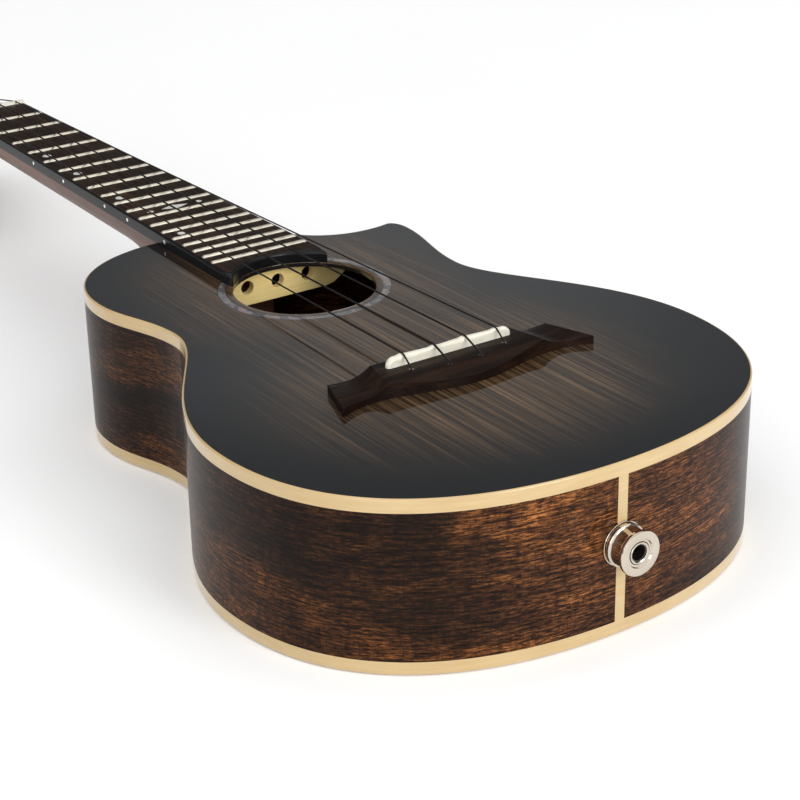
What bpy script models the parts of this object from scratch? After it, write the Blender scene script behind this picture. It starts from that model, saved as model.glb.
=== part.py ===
"""Tenor ukulele: single-cutaway body, bound fingerboard, end-pin jack, worm-geared tuning machines.

Lengths are millimetres and become metres where an object is made. X runs across the body and is
positive on the treble side, where the cutaway is. Y runs from tail to head and is 0 at the saddle.
Z runs up from the flat back, on which the instrument lies.
"""

import math

import bmesh
import bpy
import numpy as np
from mathutils import Matrix, Vector
from mathutils.geometry import tessellate_polygon

MM = 0.001
GAP = 0.3  # between faces that touch on the real instrument
RUN = 0.15  # radial clearance of a shaft that turns in its bore
HOLE_SIDES = 32  # round the soundhole and its rosette
JACK_SIDES = 16
POST_SIDES = 12
SHAFT_SIDES = 10

# Body outline
SCALE_LENGTH = 430.0
TAIL_LENGTH = 106.0  # saddle to tail
LOWER_HALF = 112.2
LOWER_Y = -14.0
WAIST_HALF = 70.8
WAIST_Y = 91.5
UPPER_HALF = 80.8
UPPER_Y = 142.0
JOIN_FRET = 14
JOIN_PAST_FRET = 3.5
SHOULDER_HALF = 26.0
HORN_HALF = 79.6
HORN_Y = 145.0
HORN_TIP = (74.5, 153.6)
HORN_DIP = (46.5, 147.0)

# Body shell
BODY_DEPTH = 69.5
TOP_THICKNESS = 2.0
BACK_THICKNESS = 2.2
SIDE_THICKNESS = 2.0
BINDING_WIDTH = 1.8
BINDING_HEIGHT = 5.4
BINDING_ROUND = 0.7
GRAFT_WIDTH = 4.4
LINING_WIDTH = 4.2
LINING_HEIGHT = 11.0
TAIL_BLOCK_HALF = 26.0
TAIL_BLOCK_THICKNESS = 15.0
NECK_BLOCK_THICKNESS = 20.0

# Soundhole, rosette and braces
HOLE_Y = 105.9
HOLE_RADIUS = 30.8
ROSETTE_MARGIN = 2.8  # plain wood between the soundhole's edge and the ring
ROSETTE_WIDTH = 3.9
ROSETTE_DEPTH = 0.9
SOUNDHOLE_BRACE_Y = 143.6
SOUNDHOLE_BRACE_WIDTH = 3.6
SOUNDHOLE_BRACE_HEIGHT = 15.5
BRACE_HOLE_RADIUS = 3.25
BRACE_HOLE_SPACING = 15.6
BRACE_HOLE_DROP = 9.2
TRANSVERSE_BRACE_Y = 58.0
BRACE_WIDTH = 6.0
TRANSVERSE_BRACE_HEIGHT = 11.0
FAN_BRACE_HEIGHT = 7.0
FAN_BRACE_WIDTH = 5.0
FAN_SPREAD = 30.0
FAN_ANGLE = 9.0
BRIDGE_PLATE = (112.0, 28.0, 2.0)
BACK_BRACE_YS = (-38.0, 64.0)
BACK_BRACE_HEIGHT = 9.0

# Bridge, saddle and pickup
BRIDGE_HALF = 55.6
BRIDGE_SLANT = 0.324
BRIDGE_FRONT = 5.8
BRIDGE_REAR = -12.8
BRIDGE_BELLY = 7.0
BRIDGE_TOP = 6.45
BRIDGE_WING = 2.9
BRIDGE_RIDGE = 0.63  # share of the half-length taken by the raised block
SADDLE_LENGTH = 58.8
SADDLE_WIDTH = 3.0
SADDLE_Y = -0.5
SADDLE_DEPTH = 2.2
SADDLE_TOP = 10.9
STRING_SPACING = 14.7
STRING_HOLE_RADIUS = 0.9
STRING_HOLE_YS = (-6.9, -11.7)
PIEZO = (54.0, 2.4, 0.8)
LEAD_RADIUS = 1.0
LEAD_X = -24.0

# End-pin jack
JACK_DROP = 32.3  # axis below the soundboard
JACK_PROTRUSION = 10.5
JACK_BORE_RADIUS = 3.3
JACK_NECK_RADIUS = 4.3
JACK_BARREL_RADIUS = 5.9
JACK_FLANGE_RADIUS = 8.8
JACK_LENGTH = 48.0
JACK_NUT_FLATS = 15.0
JACK_WASHER_RADIUS = 10.0

# Neck, fingerboard and nut
FRETS = 19
NUT_WIDTH = 38.4
JOIN_WIDTH = 49.0
BOARD_THICKNESS = 4.9
BOARD_BINDING = 1.2
BOARD_END_GAP = 0.2
BOARD_TIP_ROUND = 2.2
FRET_WIDTH = 2.0
FRET_HEIGHT = 1.0
FRET_INSET = 0.4  # from the binding to a fret's end
NUT_THICKNESS = 5.0
NUT_HEIGHT = 6.9
NUT_SPACING = 9.5
NUT_CREST = 1.2  # level part of each slot
NECK_DEPTH_NUT = 13.5
NECK_DEPTH_HEEL = 15.5
HEEL_START = 38.0  # length of neck over which the shaft turns down into the heel
HEEL_LENGTH = 13.0
HEEL_CAP_HALF = 11.0
HEEL_CAP_Z = 3.5

# Headstock and tuning machines
HEAD_ANGLE = 13.0
HEAD_LENGTH = 132.0
HEAD_THICKNESS = 14.0
HEAD_SETBACK = 0.4  # of the headstock face's bend from the nut's back edge
HEAD_SHOULDER_HALF = 30.0
HEAD_CROWN_HALF = 34.0
HEADPLATE_THICKNESS = 1.8
POST_YS = (40.0, 86.0)
POST_XS = (19.5, 21.5)
POST_RADIUS = 3.0
POST_HEIGHT = 12.5
BUSHING_WALL = 1.3
BUSHING_FLANGE = 1.4
WHEEL_TEETH = 14
GEAR_MODULE = 5.0 / 7.0
WORM_PITCH_RADIUS = 2.5
WORM_LENGTH = 7.6
WHEEL_THICKNESS = 4.0
PLATE_THICKNESS = 1.2
LUG_THICKNESS = 1.6
SHAFT_RADIUS = 1.5
BUTTON_LENGTH = 14.0
BUTTON_HALF_WIDTH = 8.0
BUTTON_HALF_THICKNESS = 3.4
BUTTON_CLEARANCE = 2.5
BUTTON_SOCKET = 8.0
STRING_RADII = (0.36, 0.44, 0.40, 0.34)
STRING_TURNS = 2.25
WINDING_STEPS = 7  # points in each turn

# Worked out from the sizes above
TOP_Z = BODY_DEPTH
SCALE_END = SCALE_LENGTH + NUT_THICKNESS
ROSETTE_INNER = HOLE_RADIUS + ROSETTE_MARGIN
ROSETTE_OUTER = ROSETTE_INNER + ROSETTE_WIDTH
JACK_Z = TOP_Z - JACK_DROP
WHEEL_PITCH_RADIUS = GEAR_MODULE * WHEEL_TEETH / 2
WORM_PITCH = math.pi * GEAR_MODULE
WORM_OUTER = WORM_PITCH_RADIUS + 0.95 * GEAR_MODULE
WORM_ROOT = WORM_PITCH_RADIUS - 1.2 * GEAR_MODULE
GEAR_CENTRES = WHEEL_PITCH_RADIUS + WORM_PITCH_RADIUS
WORM_DROP = GAP + PLATE_THICKNESS + GAP + WORM_OUTER  # worm axis behind the headstock


# ---------------------------------------------------------------- making objects


def clear_scene():
    for obj in list(bpy.data.objects):
        bpy.data.objects.remove(obj, do_unlink=True)


def material(name, colour, roughness, metallic=0.0):
    """A Principled material, made once for each name."""
    made = bpy.data.materials.get(name) or bpy.data.materials.new(name)
    made.use_nodes = True
    made.diffuse_color = (*colour, 1.0)
    shader = made.node_tree.nodes["Principled BSDF"]
    shader.inputs["Base Color"].default_value = (*colour, 1.0)
    shader.inputs["Roughness"].default_value = roughness
    shader.inputs["Metallic"].default_value = metallic
    return made


def mesh_object(name, shape, finish=None, location=(0, 0, 0), parent=None):
    """An object in metres from (vertices, faces) in millimetres, its faces turned outwards."""
    vertices, faces = shape
    work = bmesh.new()
    made = [work.verts.new(Vector(v) * MM) for v in vertices]
    for face in faces:
        work.faces.new([made[i] for i in face])
    bmesh.ops.recalc_face_normals(work, faces=work.faces)
    mesh = bpy.data.meshes.new(name)
    work.to_mesh(mesh)
    work.free()
    mesh.shade_smooth()
    mesh.set_sharp_from_angle(angle=math.radians(35))
    obj = bpy.data.objects.new(name, mesh)
    bpy.context.scene.collection.objects.link(obj)
    obj.location = Vector(location) * MM
    obj.parent = parent
    if finish:
        mesh.materials.append(finish)
    return obj


def empty(name, location, rotation=(0, 0, 0), parent=None):
    """A frame that other objects are placed in."""
    obj = bpy.data.objects.new(name, None)
    bpy.context.scene.collection.objects.link(obj)
    obj.location = Vector(location) * MM
    obj.rotation_euler = rotation
    obj.parent = parent
    return obj


def combine(obj, other, operation):
    """Puts a Boolean on obj with a hidden helper object."""
    other.hide_render = True
    other.display_type = "WIRE"
    modifier = obj.modifiers.new(other.name, "BOOLEAN")
    modifier.operation = operation
    modifier.object = other


def cut(obj, shape, location=(0, 0, 0), parent=None):
    helper = mesh_object(obj.name + "_cutter", shape, None, location, parent)
    combine(obj, helper, "DIFFERENCE")


def fuse(obj, shape, location=(0, 0, 0), parent=None):
    helper = mesh_object(obj.name + "_addition", shape, None, location, parent)
    combine(obj, helper, "UNION")


# ---------------------------------------------------------------- shapes


def prism(loops, low, high):
    """A solid between two heights. The first loop is its outline, and the others are holes."""
    flat = [[Vector((x, y, 0)) for x, y in loop] for loop in loops]
    count = sum(len(loop) for loop in flat)
    vertices = [(v.x, v.y, z) for z in (low, high) for loop in flat for v in loop]
    caps = tessellate_polygon(flat)
    faces = [tuple(face) for face in caps]
    faces += [tuple(i + count for i in face) for face in caps]
    start = 0
    for loop in flat:
        ring = list(range(start, start + len(loop)))
        for a, b in zip(ring, ring[1:] + ring[:1]):
            faces.append((a, b, b + count, a + count))
        start += len(loop)
    return vertices, faces


def turned_to(shape, axes):
    """The shape with its X, Y and Z sent to the named axes, such as "zxy"."""
    order = ["xyz".index(axis) for axis in axes]
    vertices = []
    for vertex in shape[0]:
        placed = [0.0, 0.0, 0.0]
        for value, axis in zip(vertex, order):
            placed[axis] = value
        vertices.append(tuple(placed))
    return vertices, shape[1]


def moved(shape, offset):
    return [tuple(a + b for a, b in zip(v, offset)) for v in shape[0]], shape[1]


def mirrored(shape, side):
    """The shape for one side: as drawn for +1, and mirrored in X for -1."""
    return [(x * side, y, z) for x, y, z in shape[0]], shape[1]


def box(low, high):
    corners = [(low[0], low[1]), (high[0], low[1]), (high[0], high[1]), (low[0], high[1])]
    return prism([corners], low[2], high[2])


def circle(radius, count, centre=(0, 0), start=0.0):
    angles = [start + 2 * math.pi * i / count for i in range(count)]
    return [(centre[0] + radius * math.cos(a), centre[1] + radius * math.sin(a)) for a in angles]


def rod(radius, low, high, count=16):
    return prism([circle(radius, count)], low, high)


def revolve(profile, count, ring=False):
    """Turns (radius, height) points about Z. A ring's profile is a closed loop off the axis."""
    vertices = []
    rows = []
    for radius, height in profile:
        on_axis = radius == 0
        rows.append(list(range(len(vertices), len(vertices) + (1 if on_axis else count))))
        points = [(0.0, 0.0)] if on_axis else circle(radius, count)
        vertices += [(x, y, height) for x, y in points]
    pairs = list(zip(rows, rows[1:]))
    if ring:
        pairs.append((rows[-1], rows[0]))
    faces = []
    for lower, upper in pairs:
        for i in range(count):
            j = (i + 1) % count
            quad = [lower[i % len(lower)], lower[j % len(lower)]]
            quad += [upper[j % len(upper)], upper[i % len(upper)]]
            face = tuple(dict.fromkeys(quad))
            if len(face) > 2:
                faces.append(face)
    return vertices, faces


def loft(sections, closed=False):
    """Skins rings of equal length, with a flat cap at each end unless the last joins the first."""
    size = len(sections[0])
    vertices = [tuple(point) for section in sections for point in section]
    steps = len(sections) if closed else len(sections) - 1
    faces = []
    for row in range(steps):
        following = (row + 1) % len(sections)
        for i in range(size):
            j = (i + 1) % size
            faces.append((row * size + i, row * size + j, following * size + j, following * size + i))
    if not closed:
        faces.append(tuple(range(size)))
        faces.append(tuple(range((len(sections) - 1) * size, len(sections) * size)))
    return vertices, faces


def tube(path, radius, sides=6):
    """A round solid along a path, its rings turned with as little twist as they can be."""
    points = [Vector(p) for p in path]
    rings = []
    normal = Vector((1, 0, 0))
    for i, point in enumerate(points):
        before = (point - points[i - 1]).normalized() if i else Vector()
        after = (points[i + 1] - point).normalized() if i + 1 < len(points) else Vector()
        along = (before + after).normalized()
        normal = (normal - along * normal.dot(along)).normalized()
        across = along.cross(normal)
        angles = [2 * math.pi * k / sides for k in range(sides)]
        rings.append([point + radius * (normal * math.cos(a) + across * math.sin(a)) for a in angles])
    return loft(rings)


# ---------------------------------------------------------------- plane curves


def bezier(start, start_handle, end_handle, end, count):
    """Points of a cubic curve, from its start up to but without its end."""
    corners = [np.array(p, float) for p in (start, start_handle, end_handle, end)]
    points = []
    for i in range(count):
        t = i / count
        weights = ((1 - t) ** 3, 3 * t * (1 - t) ** 2, 3 * t * t * (1 - t), t ** 3)
        point = sum(w * c for w, c in zip(weights, corners))
        points.append(tuple(point))
    return points


def arc(centre, radius, start, end, count):
    """Points on a circle between two angles in degrees, ends included."""
    angles = [math.radians(start + (end - start) * i / count) for i in range(count + 1)]
    return [(centre[0] + radius * math.cos(a), centre[1] + radius * math.sin(a)) for a in angles]


def inset(path, distance, closed=False, side=1):
    """The path moved inwards with mitred corners, one point for each of its own."""
    points = np.array(path, float)
    steps = np.roll(points, -1, axis=0) - points
    if not closed:
        steps[-1] = steps[-2]
    steps /= np.linalg.norm(steps, axis=1)[:, None]
    normals = side * np.stack([-steps[:, 1], steps[:, 0]], axis=1)
    before = np.roll(normals, 1, axis=0)
    if not closed:
        before[0] = normals[0]
    scale = 1 + (normals * before).sum(axis=1)
    return [tuple(p) for p in points + distance * (normals + before) / scale[:, None]]


def nearest(point, path):
    """Distance from a point to an open path."""
    points = np.array(path, float)
    starts, steps = points[:-1], np.diff(points, axis=0)
    share = ((np.array(point) - starts) * steps).sum(axis=1) / (steps * steps).sum(axis=1)
    feet = starts + steps * np.clip(share, 0, 1)[:, None]
    return float(np.linalg.norm(feet - np.array(point), axis=1).min())


def deep_inset(path, distance, side):
    """An inset wider than the path's tightest bend, without the points that cross over there."""
    points = inset(path, distance, side=side)
    return [p for p in points if nearest(p, path) > distance - 0.02]


def walk(path, start, end):
    """The part of a path between two distances along it."""
    points = np.array(path, float)
    lengths = np.concatenate([[0], np.cumsum(np.linalg.norm(np.diff(points, axis=0), axis=1))])
    end = end if end > 0 else lengths[-1] + end
    ends = [[np.interp(at, lengths, points[:, k]) for k in (0, 1)] for at in (start, end)]
    inside = [tuple(p) for p, at in zip(points, lengths) if start + 0.5 < at < end - 0.5]
    return [tuple(ends[0])] + inside + [tuple(ends[1])]


def reach(loop, y, side):
    """How far out from the centreline the loop is at a height, on one side."""
    crossings = []
    for (xa, ya), (xb, yb) in zip(loop, loop[1:] + loop[:1]):
        if (ya - y) * (yb - y) < 0:
            crossings.append(xa + (xb - xa) * (y - ya) / (yb - ya))
    return min((x for x in crossings if x * side > 0), key=abs)


# ---------------------------------------------------------------- body outline


def fret_y(number):
    return SCALE_LENGTH * 2 ** (-number / 12)


def board_half(y):
    """Half the fingerboard's width, which tapers evenly."""
    slope = (JOIN_WIDTH - NUT_WIDTH) / 2 / (SCALE_LENGTH - fret_y(JOIN_FRET))
    return NUT_WIDTH / 2 + slope * (SCALE_LENGTH - y)


def body_end():
    return fret_y(JOIN_FRET) + JOIN_PAST_FRET


def cutaway_x():
    return board_half(body_end()) + 1.0


def lower_path():
    """Tail centre to waist, on the +X side."""
    tail = (0.0, -TAIL_LENGTH)
    bout = (LOWER_HALF, LOWER_Y)
    waist = (WAIST_HALF, WAIST_Y)
    tail_span = LOWER_Y + TAIL_LENGTH
    waist_span = WAIST_Y - LOWER_Y
    tail_handle = (0.578 * LOWER_HALF, tail[1])
    bout_handle = (bout[0], LOWER_Y - 0.688 * tail_span)
    first = bezier(tail, tail_handle, bout_handle, bout, 10)
    bout_handle = (bout[0], LOWER_Y + 0.466 * waist_span)
    waist_handle = (waist[0], WAIST_Y - 0.244 * waist_span)
    return first + bezier(bout, bout_handle, waist_handle, waist, 7)


def bass_path():
    """Tail centre to shoulder round the full upper bout, on the +X side for mirroring."""
    waist = (WAIST_HALF, WAIST_Y)
    bout = (UPPER_HALF, UPPER_Y)
    shoulder = (SHOULDER_HALF, body_end())
    rise = UPPER_Y - WAIST_Y
    fall = body_end() - UPPER_Y
    waist_handle = (waist[0], WAIST_Y + 0.41 * rise)
    first = bezier(waist, waist_handle, (bout[0], UPPER_Y - 0.396 * rise), bout, 4)
    top_handle = (SHOULDER_HALF + 0.5 * (UPPER_HALF - SHOULDER_HALF), body_end() - 1.5)
    second = bezier(bout, (bout[0], UPPER_Y + 0.64 * fall), top_handle, shoulder, 8)
    return lower_path() + first + second + [shoulder]


def treble_path():
    """Tail centre to the neck's edge round the horn and the cutaway."""
    waist = (WAIST_HALF, WAIST_Y)
    horn = (HORN_HALF, HORN_Y)
    root = (cutaway_x(), body_end() - 5.0)
    rise = HORN_Y - WAIST_Y
    waist_handle = (waist[0], WAIST_Y + 0.37 * rise)
    first = bezier(waist, waist_handle, (horn[0], HORN_Y - 0.34 * rise), horn, 4)
    tip_rise = HORN_TIP[1] - HORN_Y
    tip_in = HORN_HALF - HORN_TIP[0]
    horn_handle = (horn[0], HORN_Y + 0.52 * tip_rise)
    tip_handle = (HORN_TIP[0] + 0.6 * tip_in, HORN_TIP[1])
    second = bezier(horn, horn_handle, tip_handle, HORN_TIP, 4)
    root_handle = (root[0], HORN_TIP[1] + 0.31 * (root[1] - HORN_TIP[1]))
    third = bezier(HORN_TIP, HORN_DIP, root_handle, root, 9)
    return lower_path() + first + second + third + [root, (root[0], body_end())]


def mirror_path(path):
    return [(-x, y) for x, y in path]


def body_outline():
    """The whole outline, anticlockwise from the tail centre."""
    return treble_path() + list(reversed(mirror_path(bass_path())))[:-1]


def wall(path, profile, side):
    """A wall along an open path, from (inset, height) points."""
    rails = {distance: inset(path, distance, side=side) for distance, _ in profile}
    return loft([[(*rails[d][i], z) for d, z in profile] for i in range(len(path))])


# ---------------------------------------------------------------- body shell


def make_soundboard(finish):
    loop = inset(body_outline(), BINDING_WIDTH + GAP, closed=True)
    hole = circle(HOLE_RADIUS, HOLE_SIDES, (0, HOLE_Y))
    shape = prism([loop, hole], TOP_Z - TOP_THICKNESS, TOP_Z)
    obj = mesh_object("soundboard", shape, finish)
    groove = [circle(radius, HOLE_SIDES, (0, HOLE_Y)) for radius in (ROSETTE_OUTER, ROSETTE_INNER)]
    cut(obj, prism(groove, TOP_Z - ROSETTE_DEPTH - GAP, TOP_Z + 1))
    cut_string_holes(obj)


def make_rosette(finish):
    radii = (ROSETTE_OUTER - GAP, ROSETTE_INNER + GAP)
    loops = [circle(radius, HOLE_SIDES, (0, HOLE_Y)) for radius in radii]
    mesh_object("rosette", prism(loops, TOP_Z - ROSETTE_DEPTH, TOP_Z), finish)


def make_back(finish):
    loop = inset(body_outline(), BINDING_WIDTH + GAP, closed=True)
    mesh_object("back_plate", prism([loop], 0, BACK_THICKNESS), finish)


def side_path(side):
    """The run of one bent side, which stops at the end graft and at the neck."""
    half = GRAFT_WIDTH / 2 + GAP
    if side > 0:
        return walk(treble_path(), half, 0)
    path = walk(mirror_path(bass_path()), half, 0)
    return path + [(cutaway_x() - SIDE_THICKNESS - GAP, body_end())]


def make_sides(finish):
    low = BINDING_HEIGHT + GAP
    high = TOP_Z - BINDING_HEIGHT - GAP
    profile = [(0, low), (0, high), (SIDE_THICKNESS, high), (SIDE_THICKNESS, low)]
    for name, side in (("side_bass", -1), ("side_treble", 1)):
        obj = mesh_object(name, wall(side_path(side), profile, side), finish)
        cut(obj, jack_hole())


def make_bindings(finish):
    outline = body_outline()
    width, height, rounding = BINDING_WIDTH, BINDING_HEIGHT, BINDING_ROUND
    outer_edges = {
        "binding_back": [(0, 0)],
        "binding_top": [(0, TOP_Z - rounding), (rounding, TOP_Z)],
    }
    for name, edge in outer_edges.items():
        level = edge[-1][1]
        inner = height if level == 0 else level - height
        profile = [(0, inner)] + edge + [(width, level), (width, inner)]
        rails = {distance: inset(outline, distance, closed=True) for distance, _ in profile}
        rows = []
        for i in range(len(outline)):
            rows.append([(*rails[d][i], z) for d, z in profile])
        mesh_object(name, loft(rows, closed=True), finish)


def make_grafts(finish):
    half = GRAFT_WIDTH / 2
    clear = JACK_BARREL_RADIUS + 2 * GAP
    spans = {
        "end_graft_lower": (BINDING_HEIGHT + GAP, JACK_Z - clear),
        "end_graft_upper": (JACK_Z + clear, TOP_Z - BINDING_HEIGHT - GAP),
    }
    for name, (low, high) in spans.items():
        shape = box((-half, -TAIL_LENGTH, low), (half, -TAIL_LENGTH + SIDE_THICKNESS, high))
        mesh_object(name, shape, finish)


def make_blocks(finish):
    low = BACK_THICKNESS + GAP
    high = TOP_Z - TOP_THICKNESS - GAP
    depth = SIDE_THICKNESS + GAP
    treble = inset(walk(treble_path(), 0, TAIL_BLOCK_HALF), depth)
    bass = list(reversed(mirror_path(treble)))[:-1]
    inner = -TAIL_LENGTH + depth + TAIL_BLOCK_THICKNESS
    corners = [(TAIL_BLOCK_HALF, inner), (-TAIL_BLOCK_HALF, inner)]
    tail = mesh_object("tail_block", prism([bass + treble + corners], low, high), finish)
    cut(tail, jack_hole())
    end = body_end() - depth
    right = cutaway_x() - depth
    shape = box((-SHOULDER_HALF, end - NECK_BLOCK_THICKNESS, low), (right, end, high))
    mesh_object("neck_block", shape, finish)


def make_linings(finish):
    outer = SIDE_THICKNESS + GAP
    inner = outer + LINING_WIDTH
    start = TAIL_BLOCK_HALF + 0.3 * inner + GAP  # their ends lean over on the curve
    heights = {
        "back": (BACK_THICKNESS + GAP, BACK_THICKNESS + GAP + LINING_HEIGHT),
        "top": (TOP_Z - TOP_THICKNESS - GAP - LINING_HEIGHT, TOP_Z - TOP_THICKNESS - GAP),
    }
    runs = {
        "bass": (mirror_path(bass_path()), -2.0, -1),
        "treble": (treble_path(), -(NECK_BLOCK_THICKNESS + outer + 1.0), 1),
    }
    for level, (low, high) in heights.items():
        for name, (path, stop, side) in runs.items():
            run = walk(path, start, stop)
            loop = inset(run, outer, side=side) + list(reversed(deep_inset(run, inner, side)))
            mesh_object("lining_" + level + "_" + name, prism([loop], low, high), finish)


# ---------------------------------------------------------------- braces


def scalloped(left, right, height, scoop=0.45, run=22.0):
    """A brace's side view: full height in the middle, scooped down near both ends."""
    low = height * scoop
    profile = [(left, 0)]
    for x_low, x_high, turn in ((left, left + run, 0.6), (right, right - run, 0.6)):
        middle = x_low + turn * (x_high - x_low)
        curve = bezier((x_low, -low), (middle, -low), (middle, -height), (x_high, -height), 5)
        curve.append((x_high, -height))
        profile += curve if x_high > x_low else list(reversed(curve))
    return profile + [(right, 0)]


def brace_span(y, width, clearance):
    """Left and right ends of a cross brace that stops inside the linings."""
    loop = inset(body_outline(), SIDE_THICKNESS + GAP + LINING_WIDTH + clearance, closed=True)
    ends = []
    for side in (-1, 1):
        ends.append(side * min(abs(reach(loop, y + s * width / 2, side)) for s in (-1, 1)))
    return ends


def make_top_braces(finish):
    top = TOP_Z - TOP_THICKNESS - GAP
    left, right = brace_span(SOUNDHOLE_BRACE_Y, SOUNDHOLE_BRACE_WIDTH, 1.0)
    profile = scalloped(left, right, SOUNDHOLE_BRACE_HEIGHT)
    holes = []
    for i in range(4):
        centre = ((i - 1.5) * BRACE_HOLE_SPACING, -BRACE_HOLE_DROP + TOP_THICKNESS)
        holes.append(circle(BRACE_HOLE_RADIUS, 12, centre))
    half = SOUNDHOLE_BRACE_WIDTH / 2
    shape = turned_to(prism([profile] + holes, -half, half), "xzy")
    mesh_object("soundhole_brace", shape, finish, (0, SOUNDHOLE_BRACE_Y, top))
    left, right = brace_span(TRANSVERSE_BRACE_Y, BRACE_WIDTH, 1.0)
    profile = scalloped(left, right, TRANSVERSE_BRACE_HEIGHT)
    shape = turned_to(prism([profile], -BRACE_WIDTH / 2, BRACE_WIDTH / 2), "xzy")
    mesh_object("transverse_brace", shape, finish, (0, TRANSVERSE_BRACE_Y, top))


def make_fan_braces(finish):
    """Three long braces that straddle the bridge plate with a notch each."""
    top = TOP_Z - TOP_THICKNESS - GAP
    plate_half = BRIDGE_PLATE[1] / 2
    notch = BRIDGE_PLATE[2] + GAP
    centre_y = plate_centre()
    head = TRANSVERSE_BRACE_Y - BRACE_WIDTH / 2 - 3.0 - centre_y
    tail = -TAIL_LENGTH + SIDE_THICKNESS + TAIL_BLOCK_THICKNESS + 6.0 - centre_y
    low = 0.4 * FAN_BRACE_HEIGHT
    run = 16.0
    for name, side in (("fan_brace_bass", -1), ("fan_brace_centre", 0), ("fan_brace_treble", 1)):
        reach_half = plate_half / math.cos(math.radians(FAN_ANGLE)) + 1.5
        profile = [(tail, 0), (tail, -low), (tail + run, -FAN_BRACE_HEIGHT)]
        profile += [(head - run, -FAN_BRACE_HEIGHT), (head, -low), (head, 0)]
        profile += [(reach_half, 0), (reach_half, -notch)]
        profile += [(-reach_half, -notch), (-reach_half, 0)]
        half = FAN_BRACE_WIDTH / 2
        shape = turned_to(prism([profile], -half, half), "yzx")
        obj = mesh_object(name, shape, finish, (side * FAN_SPREAD, centre_y, top))
        obj.rotation_euler.z = side * math.radians(FAN_ANGLE)


def plate_centre():
    return (BRIDGE_FRONT + BRIDGE_REAR - BRIDGE_BELLY) / 2 + 1.0


def make_bridge_plate(finish):
    length, width, thickness = BRIDGE_PLATE
    top = TOP_Z - TOP_THICKNESS - GAP
    y = plate_centre()
    shape = box((-length / 2, y - width / 2, top - thickness), (length / 2, y + width / 2, top))
    cut_string_holes(mesh_object("bridge_plate", shape, finish))


def make_back_braces(finish):
    low = BACK_THICKNESS + GAP
    for name, y in zip(("back_brace_lower", "back_brace_upper"), BACK_BRACE_YS):
        left, right = brace_span(y, BRACE_WIDTH, 1.0)
        profile = [(x, -z) for x, z in scalloped(left, right, BACK_BRACE_HEIGHT)]
        shape = turned_to(prism([profile], -BRACE_WIDTH / 2, BRACE_WIDTH / 2), "xzy")
        mesh_object(name, shape, finish, (0, y, low))


# ---------------------------------------------------------------- bridge, saddle, pickup


def string_x(number):
    return (number - 1.5) * STRING_SPACING


def string_hole_y(number):
    return STRING_HOLE_YS[0] if number in (0, 3) else STRING_HOLE_YS[1]


def cut_string_holes(obj):
    """The four string holes and the lead's hole, through bridge, soundboard and bridge plate."""
    low, high = TOP_Z - 12, TOP_Z + 12
    for i in range(4):
        cut(obj, rod(STRING_HOLE_RADIUS, low, high, 8), (string_x(i), string_hole_y(i), 0))
    cut(obj, rod(LEAD_RADIUS + GAP, low, TOP_Z + BRIDGE_TOP - 0.5, 8), (LEAD_X, SADDLE_Y, 0))


def bridge_section(share):
    """One slanted cross-section of the bridge: thin flared wings, raised block, bellied back."""
    far = abs(share)
    belly = math.cos(math.pi / 2 * min(far / 0.72, 1)) ** 2
    flare = max(0.0, (far - 0.78) / 0.22) ** 2
    rear = BRIDGE_REAR - BRIDGE_BELLY * belly - 3.9 * flare
    scoop = min(max((far - BRIDGE_RIDGE) / 0.2, 0.0), 1.0)
    top = BRIDGE_WING + (BRIDGE_TOP - BRIDGE_WING) * (1 - scoop) ** 2 + 0.5 * flare
    bevel = max(0.0, math.cos(math.pi / 2 * min(far / BRIDGE_RIDGE, 1)))
    rear_top = top - 2.8 * bevel - 0.3
    crease = rear + 0.4 + 6.0 * bevel
    middle = (crease + rear) / 2 + 0.3
    profile = [(BRIDGE_FRONT, GAP), (BRIDGE_FRONT, top - 0.5), (BRIDGE_FRONT - 0.5, top), (crease, top)]
    profile += [(middle, rear_top + 0.62 * (top - rear_top)), (rear, rear_top), (rear, GAP)]
    points = []
    for y, z in profile:
        x = share * (BRIDGE_HALF - BRIDGE_SLANT * (y + 5.5))
        points.append((x, y, TOP_Z + z))
    return points


def make_bridge(finish):
    half = [0.0, 0.14, 0.28, 0.42, 0.54, BRIDGE_RIDGE, 0.67, 0.72, 0.78, 0.85, 0.93, 1.0]
    shares = [-s for s in reversed(half[1:])] + half
    obj = mesh_object("bridge", loft([bridge_section(s) for s in shares]), finish)
    cut(obj, saddle_outline_prism(GAP, TOP_Z + saddle_floor() - PIEZO[2] - 2 * GAP, TOP_Z + 20))
    cut_string_holes(obj)


def saddle_floor():
    return BRIDGE_TOP - SADDLE_DEPTH


def saddle_outline_prism(clearance, low, high):
    half = SADDLE_LENGTH / 2 + clearance
    radius = SADDLE_WIDTH / 2 + clearance
    right = arc((half - radius, SADDLE_Y), radius, -90, 90, 6)
    left = arc((radius - half, SADDLE_Y), radius, 90, 270, 6)
    return prism([right + left], low, high)


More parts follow.
